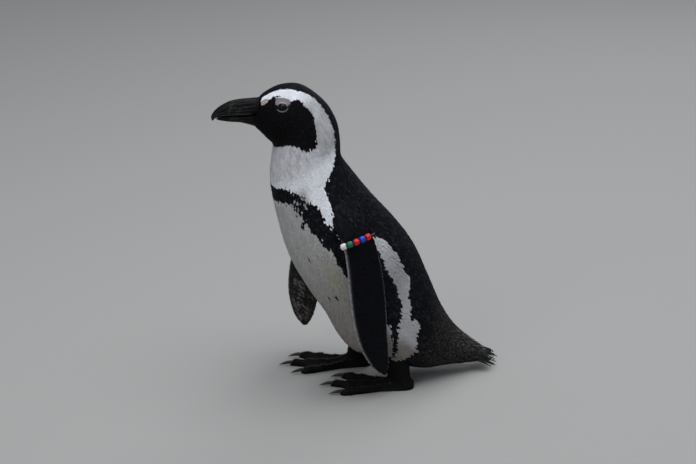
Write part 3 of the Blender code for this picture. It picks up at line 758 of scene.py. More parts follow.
def legPoint(share, angle, side):
    # an upright oval that widens into the belly and leans in towards it
    height = legSet["bottom"] + (legSet["top"] - legSet["bottom"]) * share
    radius = legSet["footRadius"] + (legSet["topRadius"] - legSet["footRadius"]) * share ** 0.8
    x = np.cos(angle) * radius * 0.9 - sides[side] * legSet["lean"] * share
    y = np.sin(angle) * radius - legSet["forward"] + footSet[side]["legTopBack"] * share
    return placeFoot(np.stack([x, y, height * np.ones_like(x)], -1) * mm, side)


skinSet = {
    "voxel": 1.35, "smoothing": 0.5, "smoothingRounds": 6,
    "shoulderPlace": 1.7, "shoulderReach": 30, "shoulderFill": 7, "shoulderRounds": 20,
    "bodyGrid": (460, 300), "flipperGrid": (150, 64), "legGrid": (24, 40), "weightSteps": 10,
}


def nearShoulder(points):
    # 1 at either shoulder, falling to 0 at the reach
    near = np.zeros(points.shape[:-1])
    for side in sides.values():
        middle = flipperPoint(skinSet["shoulderPlace"], pi / 2, side)
        away = np.linalg.norm((points - middle) * (1, 1, 0.8), axis=-1)
        near = np.maximum(near, ease(1.0, 0.4, away / (skinSet["shoulderReach"] * mm)))
    return near


def skinSource():
    # the coloured body, flippers, legs and feet as closed surfaces that run into each other
    fill = skinSet["shoulderFill"] * mm
    rows, columns = skinSet["bodyGrid"]
    t, phi = np.linspace(0, billEnd, rows)[:, None], fullTurn(columns)
    swell = fill * nearShoulder(bodyPoint(t, phi))
    tints = skinColours(*np.broadcast_arrays(t, phi))
    parts = [(tube("body", bodyPoint(t, phi, depthAt(t) - swell)), withEnds(tints))]
    rows, columns = skinSet["flipperGrid"]
    place, angle = np.broadcast_arrays(np.linspace(0, 10, rows)[:, None], fullTurn(columns))
    coat = flipperSet["coat"] * mm
    for side in sides.values():
        swell = fill * nearShoulder(flipperPoint(place, angle, side, coat))
        grid = flipperPoint(place, angle, side, coat - swell)
        root, _ = flipperColours(place, angle, grid, np.zeros(place.shape))
        parts.append((tube("flipper", grid), withEnds(root)))
    rows, columns = skinSet["legGrid"]
    for side in sides:
        grid = legPoint(np.linspace(0, 1, rows)[:, None], fullTurn(columns), side)
        for mesh, colour in ((tube("leg", grid), "leg"), (footMesh(side), "skin")):
            parts.append((mesh, np.tile(footTints[colour], (len(mesh.vertices), 1))))
    things = []
    for mesh, colours in parts:
        paint(mesh, colours)
        things.append(addObject("part", mesh))
    with bpy.context.temp_override(active_object=things[0], selected_editable_objects=things):
        bpy.ops.object.join()
    return things[0]


def buildSkin(material):
    # The parts are fused by a voxel remesh and smoothed. They are swollen at the shoulders before
    # it and shrunk again after it, which leaves a fillet in the crease of each shoulder. The
    # colours are then taken from the nearest place on the parts.
    source = skinSource()
    fused = addObject("fused", source.data.copy())
    addModifier(fused, "REMESH", mode="VOXEL", voxel_size=skinSet["voxel"] * mm, use_smooth_shade=True)
    addModifier(fused, "SMOOTH", factor=skinSet["smoothing"], iterations=skinSet["smoothingRounds"])
    mesh = finished(fused, "skin")
    for layer in list(mesh.color_attributes):
        mesh.color_attributes.remove(layer)
    paint(mesh, np.zeros((len(mesh.vertices), 3)))
    bare = addObject("bare", mesh)
    points = meshPoints(mesh)
    inwards = -meshPoints(mesh, "normal") * skinSet["shoulderFill"] * mm
    weights = nearShoulder(points + inwards * nearShoulder(points)[:, None])
    mesh.vertices.foreach_set("co", (points + inwards * weights[:, None]).astype(np.float32).ravel())
    softened = bare.vertex_groups.new(name="shoulders")
    steps = skinSet["weightSteps"]
    for level in np.arange(1, steps + 1) / steps:
        softened.add(np.flatnonzero(np.ceil(weights * steps) / steps == level).tolist(), level, "REPLACE")
    addModifier(bare, "SMOOTH", factor=skinSet["smoothing"], iterations=skinSet["shoulderRounds"],
                vertex_group=softened.name)
    addModifier(bare, "DATA_TRANSFER", object=source, use_vert_data=True,
                data_types_verts={"COLOR_VERTEX"}, vert_mapping="POLYINTERP_NEAREST",
                layers_vcol_vert_select_src="tint", layers_vcol_vert_select_dst="INDEX")
    coloured = finished(bare, "skin")
    bpy.data.objects.remove(source)
    coloured.materials.clear()
    coloured.shade_smooth()
    flesh = ["trunk", "neck", "head", "rump"]
    flesh += [side + part for side in sides for part in ("_flipper", "_leg", "_foot")]
    return addPiece("skin", coloured, material, "feathers", *flesh)


# A vane is a row of (place along, half width, arch) between its root and its tip.
vaneShapes = {
    "long": ((0.22, 0.72, 0.10), (0.60, 1.0, 0.16), (0.88, 0.66, 0.10)),
    "short": ((0.38, 0.92, 0.14), (0.82, 0.82, 0.12)),
}
# The shares here include painted shade: each vane darker towards its edges.
vaneSet = {"sunk": 0.2, "edgePaintedShade": 0.10, "patch": 0.003, "crease": 60, "pieceTriangles": 190000}


def vaneTemplate(shape):
    # Points as (across, along, arch, below): root, then left, top, right and bottom of each row,
    # then the tip. Faces are triangles, the upper side first.
    rows = vaneShapes[shape]
    points = [(0, 0, 0, 0.5)]
    for along, width, arch in rows:
        points += [(-width, along, 0, 0.5), (0, along, arch, 0), (width, along, 0, 0.5), (0, along, arch, 1)]
    points.append((0, 1, 0, 0.5))
    tip = len(points) - 1
    faces = []
    for top, flip in ((1, False), (3, True)):
        ring = [(1 + 4 * k, 1 + 4 * k + top, 3 + 4 * k) for k in range(len(rows))]
        sheet = [(0, ring[0][1], ring[0][0]), (0, ring[0][2], ring[0][1])]
        for (l0, m0, r0), (l1, m1, r1) in zip(ring, ring[1:]):
            sheet += [(l0, m0, m1), (l0, m1, l1), (m0, r0, r1), (m0, r1, m1)]
        sheet += [(ring[-1][0], ring[-1][1], tip), (ring[-1][1], ring[-1][2], tip)]
        faces += [face[::-1] for face in sheet] if flip else sheet
    return np.array(points, float), np.array(faces)


laySet = {"beside": 0.7, "middleShare": 0.4, "tipShare": 0.85}


def layOnSkin(points, along, across, outward, length, skin, reach):
    # Brings each feather's root, middle and tip onto the skin, and finds its side and its normal.
    # A middle or a tip that a fold in the skin brings too near the root is put back on the
    # feather's line. keep is false where the root is hidden inside another part.
    length = np.asarray(length)[..., None]
    aside = across * laySet["beside"] * mm
    probes = [points, points + along * length / 2, points + along * length, points + aside]
    root, middle, tip, beside = ontoSurface(np.stack(probes), skin)
    keep = np.linalg.norm(root - points, axis=1) < reach
    short = np.linalg.norm(middle - root, axis=1, keepdims=True) < laySet["middleShare"] * length
    middle = np.where(short, root + along * length / 2, middle)
    short = np.linalg.norm(tip - root, axis=1, keepdims=True) < laySet["tipShare"] * length
    tip = np.where(short, middle * 2 - root, tip)
    along = unit(middle - root)
    normal = np.cross(beside - root, along)
    normal *= np.sign((normal * outward).sum(1, keepdims=True))
    normal = unit(normal)
    return root, middle, tip, np.cross(along, normal), normal, keep


def copiedFaces(faces, count, points):
    # a template's faces for each of its copies, whose points follow one another
    return (faces[None] + (np.arange(count) * points)[:, None, None]).reshape(-1, 3)


def vanePieces(name, shape, lay, looks, chosen, thick, material, slot):
    # Every chosen vane is the template laid along a parabola through root, middle and tip.
    root, middle, tip, side, normal, _ = [array[chosen] for array in lay]
    looks = {key: array[chosen] for key, array in looks.items()}
    points, faces = vaneTemplate(shape)
    across, along, arch, below = points.T
    count = len(root)
    width = looks["width"][:, None]
    depth = looks["depth"][:, None]
    spine = (root[:, None] * ((1 - along) * (1 - 2 * along))[:, None]
             + middle[:, None] * (4 * along * (1 - along))[:, None]
             + tip[:, None] * (along * (2 * along - 1))[:, None])
    swerve = looks["yaw"][:, None] * along
    sunk = vaneSet["sunk"] * mm
    lift = -sunk + (depth * looks["lift"][:, None] + sunk) * along ** 0.8
    lift = lift + arch * width - thick * mm * below
    coords = spine + side[:, None] * (across * width + swerve)[..., None] + normal[:, None] * lift[..., None]
    fade = ease(0.35, 1.0, along) * np.ones((count, 1))
    tints = mix(looks["root"][:, None], looks["tip"][:, None], fade)
    # painted shade: each vane darker towards its edges, where it meets its neighbours; on the rump the worn
    # pale rims outweigh it
    edge = 1 + (looks.get("rim", np.zeros(count))[:, None] - vaneSet["edgePaintedShade"]) * np.abs(across)
    tints = tints * edge[..., None]
    patch = vaneSet["patch"] * np.column_stack([across / 2, along - 0.5])
    places = looks["place"][:, None] + patch[None]
    vane = np.column_stack([across, along])
    groups = max(1, -(-count // (vaneSet["pieceTriangles"] // len(faces))))
    for number, part in enumerate(np.array_split(np.arange(count), groups)):
        corners = copiedFaces(faces, len(part), len(points))
        mesh = makeMesh(name, coords[part].reshape(-1, 3), corners)
        paint(mesh, tints[part].reshape(-1, 3))
        layers = {"OFBake": places[part].reshape(-1, 2), "vane": np.tile(vane, (len(part), 1))}
        for layer, values in layers.items():
            uv = mesh.uv_layers.new(name=layer)
            uv.data.foreach_set("uv", values[corners.ravel()].astype(np.float32).ravel())
        mesh.shade_smooth()
        mesh.set_sharp_from_angle(angle=radians(vaneSet["crease"]))
        title = name if groups == 1 else "%s_%d" % (name, number + 1)
        addPiece(title, mesh, material, slot)
    print(name, count)


bodyCoat = {
    "length": ((0, 15), (0.8, 13), (1.8, 10), (8, 9.0), (9.5, 7.2), (11, 5.0), (12, 4.0), (13, 3.2),
               (14, 2.5), (15, 2.0)),
    "widthShare": ((0, 0.085), (1.2, 0.10), (2.4, 0.17), (15, 0.17)),   # half width over length
    "alongShare": 0.27,        # from row to row
    "acrossShare": 1.25,       # from feather to feather, in half widths
    "firstShare": 0.001, "lastShare": 0.997, "stray": 0.22, "placeStray": 0.010,
    "lengthStray": (0.88, 1.12), "widthStray": (0.9, 1.12), "lift": (0.55, 0.85), "yaw": 0.07,
    "shownAt": 0.7,            # the share of a feather's length that its neighbours leave in sight
    "reach": (1.6, 7.0),       # how far a root may move onto the skin, and the shoulders' addition
    "rim": 7, "rimAt": (2.6, 0.8),      # how pale the vanes' edges are on the rump, and where
    "coverts": (1.9, 0.5), "covertsEnd": (3, 200, 5), "covertsRise": 15,      # where they point, in mm
    "thick": 0.22, "headThick": 0.12, "headStarts": 10.8,
}


def featherLength(t):
    # from the table of lengths in mm
    return readTable(bodyCoat["length"], t) * mm


def featherWidth(t):
    # half the vane's width: a share of its length
    return featherLength(t) * readTable(bodyCoat["widthShare"], t)


def leaning(coat, length):
    # how far feathers lift and how far they lean to one side, within a coat's ranges
    count = len(length)
    return {"lift": rng.uniform(*coat["lift"], count), "yaw": length * rng.normal(0, coat["yaw"], count)}


def allowedReach(coat, points):
    # how far a root may move to the skin, which is further at the shoulders
    usual, more = coat["reach"]
    return (usual + more * nearShoulder(points)) * mm


def withWays(surface, first, second, firstStep, secondStep):
    # places on a surface, and the directions in which its two measures move them
    point = surface(first, second)
    return (point, unit(surface(first + firstStep, second) - point),
            unit(surface(first, second + secondStep) - point))


def bodyRoots():
    # Rows at equal shares of the way from bill to tail, with feathers at equal steps along each.
    phi = np.linspace(0, 2 * pi, 181)
    t = np.linspace(billEnd, 0, 800)
    grid = bodyPoint(t[:, None], phi[None, :])
    way = np.cumsum(np.linalg.norm(np.diff(grid, axis=0), axis=2), axis=0)
    way = np.vstack([np.zeros(len(phi)), way])
    share = way / way[-1]
    levels = [bodyCoat["firstShare"]]
    while levels[-1] < bodyCoat["lastShare"]:
        here = np.interp(levels[-1], share[:, len(phi) // 4], t)
        levels.append(levels[-1] + featherLength(here) * bodyCoat["alongShare"] / way[-1].mean())
    levels = np.array(levels[:-1])
    tRows = np.stack([np.interp(levels, share[:, k], t) for k in range(len(phi))], 1)
    found = []
    for number, tRow in enumerate(tRows):
        ring = bodyPoint(tRow, phi)
        around = wayAlong(ring)
        step = featherWidth(tRow.mean()) * bodyCoat["acrossShare"]
        count = int(around[-1] / step)
        at = staggered(count, number, bodyCoat["stray"])
        phiRow = np.interp(at % 1.0 * around[-1], around, phi)
        found.append(np.column_stack([np.interp(phiRow, phi, tRow), phiRow, np.full(count, levels[number])]))
    roots = np.vstack(found)
    roots[:, 0] += rng.normal(0, bodyCoat["placeStray"], len(roots))
    return np.clip(roots[:, 0], 0.001, billEnd - 0.001), roots[:, 1], roots[:, 2]


def bendToTail(lay, t, phi, length):
    # the long coverts at the end of the rump leave the skin and point at the end of the tail
    root, middle, tip = lay[:3]
    share = ease(*bodyCoat["coverts"], t)[:, None]
    x, y, z = bodyCoat["covertsEnd"]
    home = root - fromFeet
    top = 0.5 + 0.5 * np.cos(phi)
    end = np.column_stack([home[:, 0] * 0.7 + x * mm, np.full(len(t), y * mm),
                           (z + bodyCoat["covertsRise"] * top) * mm])
    away = root + unit(end - home) * length
    tip[:] = tip * (1 - share) + away * share
    middle[:] = middle * (1 - share) + (root + away) / 2 * share


def buildBodyCoat(skin, material):
    # Vanes over the body and the head, each from its root towards the tail, except on bare skin,
    # at the eyes and where another part covers the root.
    t, phi, level = bodyRoots()
    depth = depthAt(t)
    point = bodyPoint(t, phi, depth)
    along = unit(bodyPoint(t - 0.03, phi, depth) - bodyPoint(t + 0.03, phi, depth))
    across = unit(bodyPoint(t, phi + 0.02, depth) - bodyPoint(t, phi - 0.02, depth))
    outward = point - bodyPoint(t, phi, depth + 6 * mm)
    length = featherLength(t) * rng.uniform(*bodyCoat["lengthStray"], len(t))
    lay = layOnSkin(point, along, across, outward, length, skin, allowedReach(bodyCoat, point))
    bendToTail(lay, t, phi, length[:, None])
    pace = np.linalg.norm(bodyPoint(t - 0.03, phi) - bodyPoint(t + 0.03, phi), axis=1) / 0.06
    shown = t - bodyCoat["shownAt"] * length / np.maximum(pace, 1e-6)
    root, tip = coatColours(shown, phi, point)
    degrees = foldDegrees(phi)
    keep = lay[-1] & ~isBare(t - 0.25 * length / pace, degrees) & ~isBare(shown, degrees)
    for share in (0, 0.5, 0.9):
        keep &= ~nearEye(point + along * length[:, None] * share)
    width = featherWidth(t) * rng.uniform(*bodyCoat["widthStray"], len(t))
    looks = {
        "width": width, "depth": depth, "lift": rng.uniform(*bodyCoat["lift"], len(t)),
        "rim": bodyCoat["rim"] * ease(*bodyCoat["rimAt"], t) * rng.random(len(t)) ** 2,
        "yaw": length * rng.normal(0, bodyCoat["yaw"], len(t)), "root": root, "tip": tip,
        "place": np.column_stack([phi / (2 * pi), 1 - level]),
    }
    head = t > bodyCoat["headStarts"]
    vanePieces("body_feathers", "long", lay, looks, keep & ~head, bodyCoat["thick"], material, "feathers")
    vanePieces("head_feathers", "short", lay, looks, keep & head, bodyCoat["headThick"], material, "feathers")


flipperCoat = {
    "length": 3.4, "topLength": 7.5, "widthShare": 0.27, "along": 1.55, "across": 1.35, "starts": 0.9,
    "stray": 0.2, "lengthStray": (0.85, 1.15), "widthStray": (0.9, 1.1), "lift": (0.6, 1.0), "yaw": 0.05,
    "thick": 0.12, "last": 9.99, "reach": (1.3, 5.0),
}


def flipperRoots():
    # rows at equal steps down the blade's outer side, with feathers at equal steps round each
    places = np.linspace(flipperCoat["starts"], flipperCoat["last"], 600)
    way = wayAlong(flipperPoint(places, pi / 2, 1))
    rows = np.interp(np.arange(0, way[-1], flipperCoat["along"] * mm), way, places)
    angle = np.linspace(0, 2 * pi, 121)
    found = []
    for number, place in enumerate(rows):
        around = wayAlong(flipperPoint(place, angle, 1))
        count = max(5, int(around[-1] / (flipperCoat["across"] * mm)))
        at = staggered(count, number, flipperCoat["stray"])
        turned = np.interp(at % 1.0 * around[-1], around, angle)
        found.append(np.column_stack([np.full(count, place), turned]))
    return np.vstack(found).T


def steadyOnFlipper(lay, place, angle, side, length, outward):
    # away from the shoulder the thin blade's feathers follow its own shape rather than the skin
    root, middle, tip, _, normal, keep = lay
    depth = flipperSet["coat"] * mm
    point = flipperPoint(place, angle, side, depth)
    step = flipperPoint(place + 0.04, angle, side, depth) - point
    length = length[:, None]
    reach = length[:, 0] * 0.04 / np.linalg.norm(step, axis=1)
    free = ease(0.3, 0.0, nearShoulder(point))[:, None]
    spots = []
    for share, spot in ((0, root), (0.5, middle), (1, tip)):
        onBlade = flipperPoint(place + share * reach, angle, side, depth)
        beyond = (place + share * reach > 9.98)[:, None]
        onBlade = np.where(beyond, point + unit(step) * length * share, onBlade)
        spots.append(spot * (1 - free) + onBlade * free)
    normal = unit(normal * (1 - free) + outward * free)
    across = np.cross(unit(spots[1] - spots[0]), normal)
    return (*spots, across, normal, keep | (free[:, 0] > 0.5))


def buildFlipperCoat(side, name, skin, material):
    # short vanes towards the blade's tip, longer where the shoulder joins the body
    place, angle = flipperRoots()
    depth = flipperSet["coat"] * mm
    point, along, across = withWays(lambda p, a: flipperPoint(p, a, side, depth), place, angle, 0.04, 0.03)
    outward = unit(np.cross(across, along)) * side
    outward *= np.sign((outward * (point - flipperPoint(place, angle + pi, side, depth))).sum(1))[:, None]
    count = len(place)
    shoulder = nearShoulder(point)
    length = flipperCoat["length"] + (flipperCoat["topLength"] - flipperCoat["length"]) * shoulder
    length = length * mm * rng.uniform(*flipperCoat["lengthStray"], count)
    lay = layOnSkin(point, along, across, outward, length, skin, allowedReach(flipperCoat, point))
    lay = steadyOnFlipper(lay, place, angle, side, length, outward)
    root, tip = flipperColours(place, angle, point, rng.random(count))
    looks = {
        "width": length * flipperCoat["widthShare"] * rng.uniform(*flipperCoat["widthStray"], count),
        "depth": np.full(count, depth), **leaning(flipperCoat, length), "root": root, "tip": tip,
        "place": np.column_stack([angle / (2 * pi), 1 - place / 10]),
    }
    vanePieces(name, "short", lay, looks, lay[-1], flipperCoat["thick"], material, "flipper_feathers")


legCoat = {
    "length": 5.0, "halfWidth": 0.85, "step": 1.35, "columns": 44, "range": (0.06, 0.98), "reach": 1.4,
    "turnStray": 0.02,
    "lengthStray": (0.8, 1.2), "depth": 1.2, "lift": (0.5, 1.1), "yaw": 0.08, "thick": 0.15,
}


def buildLegCoat(side, skin, material):
    # short vanes towards the foot, in rows round the leg that are offset from one another
    columns = legCoat["columns"]
    rows = np.arange(*legCoat["range"], legCoat["step"] / (legSet["top"] - legSet["bottom"]))
    share, angle = np.meshgrid(rows, np.arange(columns) / columns * 2 * pi, indexing="ij")
    angle = angle + (np.arange(len(rows)) % 2)[:, None] * pi / columns
    share, angle = share.ravel(), angle.ravel() + rng.normal(0, legCoat["turnStray"], share.size)
    point, along, across = withWays(lambda s, a: legPoint(s, a, side), share, angle, -0.02, 0.03)
    outward = point - legPoint(share, angle + pi, side)
    count = len(share)
    length = legCoat["length"] * mm * rng.uniform(*legCoat["lengthStray"], count)
    lay = layOnSkin(point, along, across, outward, length, skin, legCoat["reach"] * mm)
    chance = rng.random(count)
    looks = {
        "width": np.full(count, legCoat["halfWidth"] * mm), "depth": np.full(count, legCoat["depth"] * mm),
        **leaning(legCoat, length), "root": np.tile(footTints["leg"], (count, 1)),
        "tip": mix(footTints["leg"], footTints["legTip"], chance),
        "place": np.column_stack([angle / (2 * pi) % 1.0, share]),
    }
    name = side + "_leg_feathers"
    vanePieces(name, "short", lay, looks, lay[-1], legCoat["thick"], material, "feathers")


eyeSet = {
    "place": (-67.4, 341.2), "sideways": 18.1, "radius": 7.0,
    "openingHalfWidth": 50, "openingUp": 34, "openingDown": 36,     # degrees at the eyeball's centre
    "pupil": (20, 24), "iris": (36, 46), "tilt": 21, "ahead": 13, "bulge": 0.05,
    "rimHalfWidth": 6.8, "rimHalfHeight": 5.7,
}
eyeTints = colourTable(pupil=(0.001, 0.001, 0.001), iris=(0.006, 0.0022, 0.0016), rim=(0.003, 0.002, 0.002))
lidSet = {"margin": 0.35, "rise": 0.75, "fold": 0.55, "reach": 86, "upperPower": 2.6, "lowerPower": 2.1,
          "riseAt": (0.22, 0.16), "foldAt": (0.42, 0.2), "under": 0.88}
lidTints = colourTable(pink=(0.20, 0.17, 0.19), light=(0.32, 0.32, 0.37), grey=(0.115, 0.115, 0.12),
                       dark=(0.0025, 0.0025, 0.003))


def eyeFrame(side):
    # the eyeball's centre and its outward, forward and upward directions, turned ahead, then up
    y, z = eyeSet["place"]
    centre = turnHead(np.array([side * eyeSet["sideways"], y, z]) * mm, headTurn) + fromFeet
    outward, forward = turnWay(side, 0, 0), turnWay(0, -1, 0)
    upward = np.array((0.0, 0.0, 1.0))
    ahead, tilt = radians(eyeSet["ahead"]), radians(eyeSet["tilt"])
    outward, forward = (outward * np.cos(ahead) + forward * np.sin(ahead),
                        forward * np.cos(ahead) - outward * np.sin(ahead))
    outward, upward = (outward * np.cos(tilt) + upward * np.sin(tilt),
                       upward * np.cos(tilt) - outward * np.sin(tilt))
    return centre, outward, forward, upward


def nearEye(points):
    # whether points are over the rim of either eye, seen along its axis
    near = np.zeros(len(points), bool)
    for side in sides.values():
        centre, outward, forward, upward = eyeFrame(side)
        away = (points - centre) / mm
        across = away @ forward / eyeSet["rimHalfWidth"]
        above = away @ upward / eyeSet["rimHalfHeight"]
        near |= (away @ outward > 0) & (across ** 2 + above ** 2 < 1)
    return near


def roundEye(side, radius, polar, turn):
    # places at a radius from the eyeball's centre, in polar degrees from its outward direction
    centre, outward, forward, upward = eyeFrame(side)
    a = np.radians(polar)
    return (centre + (radius * np.cos(a))[..., None] * outward
            + (radius * np.sin(a) * np.cos(turn))[..., None] * forward
            + (radius * np.sin(a) * np.sin(turn))[..., None] * upward)


def eyeMesh(side):
    # A ball of polar rings about the outward direction, with the cornea's low bulge in front.
    polar = np.linspace(0.5, 179.5, 60)[:, None]
    turn = fullTurn(48)
    radius = eyeSet["radius"] * mm * (1 + eyeSet["bulge"] * bump(0, 34, polar))
    spokes = 1 + 0.25 * np.sin(turn * 17) * np.sin(turn * 29 + 1)
    tints = mix(eyeTints["iris"] * spokes[..., None], eyeTints["rim"], ease(*eyeSet["iris"], polar))
    tints = mix(eyeTints["pupil"], tints, ease(*eyeSet["pupil"], polar))
    return tintedTube("eye", roundEye(side, radius, polar, turn), tints)


def lidMesh(side):
    # A shell round the eyeball, from the opening's rounded margin out to under the skin. The
    # opening is an oval with a flat upper and a round lower edge; the shell bulges as a ring
    # below and as a smooth fold above.
    turn = fullTurn(96)
    v = np.linspace(0, 1, 34)[:, None]
    up = np.sin(turn)
    openHeight = np.where(up > 0, eyeSet["openingUp"], eyeSet["openingDown"])
    power = np.where(up > 0, lidSet["upperPower"], lidSet["lowerPower"])
    opening = (np.abs(np.cos(turn) / eyeSet["openingHalfWidth"]) ** power
               + np.abs(up / openHeight) ** power) ** (-1 / power)
    ball = eyeSet["radius"] * (1 + eyeSet["bulge"])
    inner = ease(0, 0.12, v)
    polar = opening + (lidSet["reach"] - opening) * np.clip((v - 0.06) / 0.94, 0, 1) ** 1.2
    ring = lidSet["rise"] * bump(*lidSet["riseAt"], v) * (0.45 + 0.55 * ease(0.4, -0.5, up))
    fold = lidSet["fold"] * bump(*lidSet["foldAt"], v) * ease(-0.1, 0.7, up)
    radius = (ball - 0.5 + (lidSet["margin"] + 0.5) * inner + ring + fold - 0.9 * ease(0.6, 1.0, v)) * mm
    grid = roundEye(side, radius, polar, turn)
    centre = eyeFrame(side)[0]
    under = centre + (grid - centre) * lidSet["under"]
    top = mix(lidTints["light"], lidTints["pink"], ease(0.12, 0.4, v))
    bottom = mix(lidTints["grey"], lidTints["dark"], ease(0.30, 0.42, v))
    tints = mix(bottom, top, ease(0.2, 0.7, up))
    tints = mix(lidTints["dark"], tints, ease(0.02, 0.10, v))
    mesh = ringMesh("lids", np.concatenate([grid, under[::-1]], 0))
    paint(mesh, np.concatenate([tints, tints[::-1]], 0).reshape(-1, 3))
    return mesh


# Back edge (y, z), lower edge (y, z) and half width of each section, from the root to the tip.
billSet = {
    "upper": [(-104, 348.8, -106, 330.2, 8.8), (-115.3, 348.0, -117, 329.5, 7.4),
              (-126.7, 345.8, -128, 328.6, 6.2), (-137.5, 340.4, -138, 327.6, 4.7),
              (-143.6, 335.6, -143.4, 326.0, 3.3), (-147.0, 331.2, -145.8, 323.8, 2.0),
              (-148.6, 327.6, -147.5, 323.0, 0.8)],
    "lower": [(-106, 329.8, -106.5, 318.4, 8.2), (-117, 329.1, -116, 320.6, 6.6),
              (-128, 328.2, -127, 321.4, 5.0), (-137.5, 327.2, -137.5, 323.0, 3.3),
              (-142.4, 325.6, -142.2, 324.2, 1.4)],
    "gape": 0.46, "upperWidest": 0.14, "lowerWidest": 0.86, "rootInside": 3.0,
    "startY": -96, "length": 52, "ridges": 0.22, "plate": 0.45, "nostril": 1.0, "chink": 0.35,
    "nostrilAlong": (0.36, 0.055), "nostrilHeight": (0.50, 0.05), "chinkAlong": (0.66, 0.02),
    # The last row places the pale bar, a painted highlight along the gape's edge, and the groove's width.
    "bandAlong": (0.64, 0.04), "gapeHighlightHeight": (0.09, 0.035), "grooveWidth": 0.06,
}
# grey is the colour of the real pale bar and also of the painted highlights on the ridges and at the gape
billTints = colourTable(black=(0.0025, 0.0025, 0.0030), grey=(0.075, 0.072, 0.070), tip=(0.03, 0.026, 0.022))


def billRoot(share):
    # a point on the bill's root at a share of its height, and the direction out along the bill
    back, under = bodyRows[-1][0:2] / mm, bodyRows[-1][2:4] / mm
    upright = (back - under) / np.linalg.norm(back - under)
    return under + (back - under) * share, np.array((-upright[1], upright[0]))


def billTable(part):
    # the sections, with one on the root and one inside the head before them
    high, low = (0.985, billSet["gape"] + 0.01) if part == "upper" else (billSet["gape"], 0.015)
    width = bodyRows[-1][4] / mm * (0.97 if part == "upper" else 0.92)
    top, forward = billRoot(high)
    bottom, _ = billRoot(low)
    sunk = forward * billSet["rootInside"]
    first = (*(top - sunk), *(bottom - sunk), width)
    return np.array([first, (*top, *bottom, width), *billSet[part]], float)


def billShare(y):
    # the share of the bill's length at a place in mm
    return (billSet["startY"] - y) / billSet["length"]


def billMesh(part):
    # Rounded rings between the back and the lower edge. The horn has long fine ridges, a groove
    # that parts the culmen from the side plates, and a nostril slit.
    widest = billSet[part + "Widest"]
    table = billTable(part)
    angle = fullTurn(150)
    rows = throughRows(table, np.linspace(0, len(table) - 1, 150))[:, None, :]
    rise = np.cos(angle)
    height = np.where(rise > 0, widest + (1 - widest) * rise, widest - widest * np.abs(rise) ** 0.8)
    y = rows[..., 2] + height * (rows[..., 0] - rows[..., 2])
    z = rows[..., 3] + height * (rows[..., 1] - rows[..., 3])
    along = np.clip(billShare(y), 0, 1)
    sideways = np.sin(angle)
    flank = np.abs(sideways) ** 0.5
    wander = height * 17 + 0.7 * np.sin(along * 5) + 0.3 * np.sin(along * 13 + height * 5)
    ridges = billSet["ridges"] * (0.8 * np.sin(wander * 1.6) + 0.7 * np.sin(wander * 3.3 + 1)) * flank
    ridges = ridges * ease(0.0, 0.12, along) * ease(1.0, 0.85, along)
    dent = np.zeros_like(ridges)
    if part == "upper":
        groove = 0.62 - 0.28 * ease(0.45, 0.95, along)
        dent = billSet["plate"] * bump(groove, billSet["grooveWidth"], height) * ease(0.02, 0.12, along)
        dent = dent * ease(0.95, 0.7, along)
        nostril = bump(*billSet["nostrilAlong"], along) * bump(*billSet["nostrilHeight"], height)
        dent = dent + billSet["nostril"] * nostril
        dent = dent + billSet["chink"] * bump(*billSet["chinkAlong"], along + 0.05 * height)
    width = rows[..., 4] + (ridges - dent) * flank
    grid = turnHead(np.stack([width * sideways, y, z], -1) * mm, headTurn) + fromFeet
    band = bump(*billSet["bandAlong"], along + 0.10 * height) * (0.55 + 0.45 * np.sin(wander * 2))
    # The streaks lie on the ridges' crests: painted highlights, showing in patches.
    highlightPatches = 0.5 + 0.5 * np.sin(along * 8 + height * 9) * np.sin(along * 3 - height * 14 + 1)
    streak = np.clip(np.sin(wander * 3.3 + 1), 0, 1) ** 4 * highlightPatches
    # a painted highlight along the upper bill's lower edge, at the gape
    rim = bump(*billSet["gapeHighlightHeight"], height) * ease(0.7, 0.4, along) if part == "upper" else 0
    # grey mixes the real pale bar with the painted highlights
    grey = np.clip(0.3 * band + 0.9 * streak + 0.6 * rim, 0, 1) * flank
    tints = mix(billTints["black"], billTints["grey"], grey * ease(0.02, 0.3, along))
    tints = mix(tints, billTints["tip"], ease(0.9, 1.0, along) * 0.6)
    return tintedTube(part + "_bill", grid, tints)


fringeSet = {
    "count": 800, "length": 2.0, "halfWidth": 0.42, "edge": 0.025, "point": 0.13, "gapeHeight": 331,
    "stray": 0.2, "lengthStray": (0.8, 1.2), "depth": 0.3, "lift": (0.4, 1.0), "yaw": 0.08, "thick": 0.1,
    "reach": 0.8, "ragged": 0.012,
}


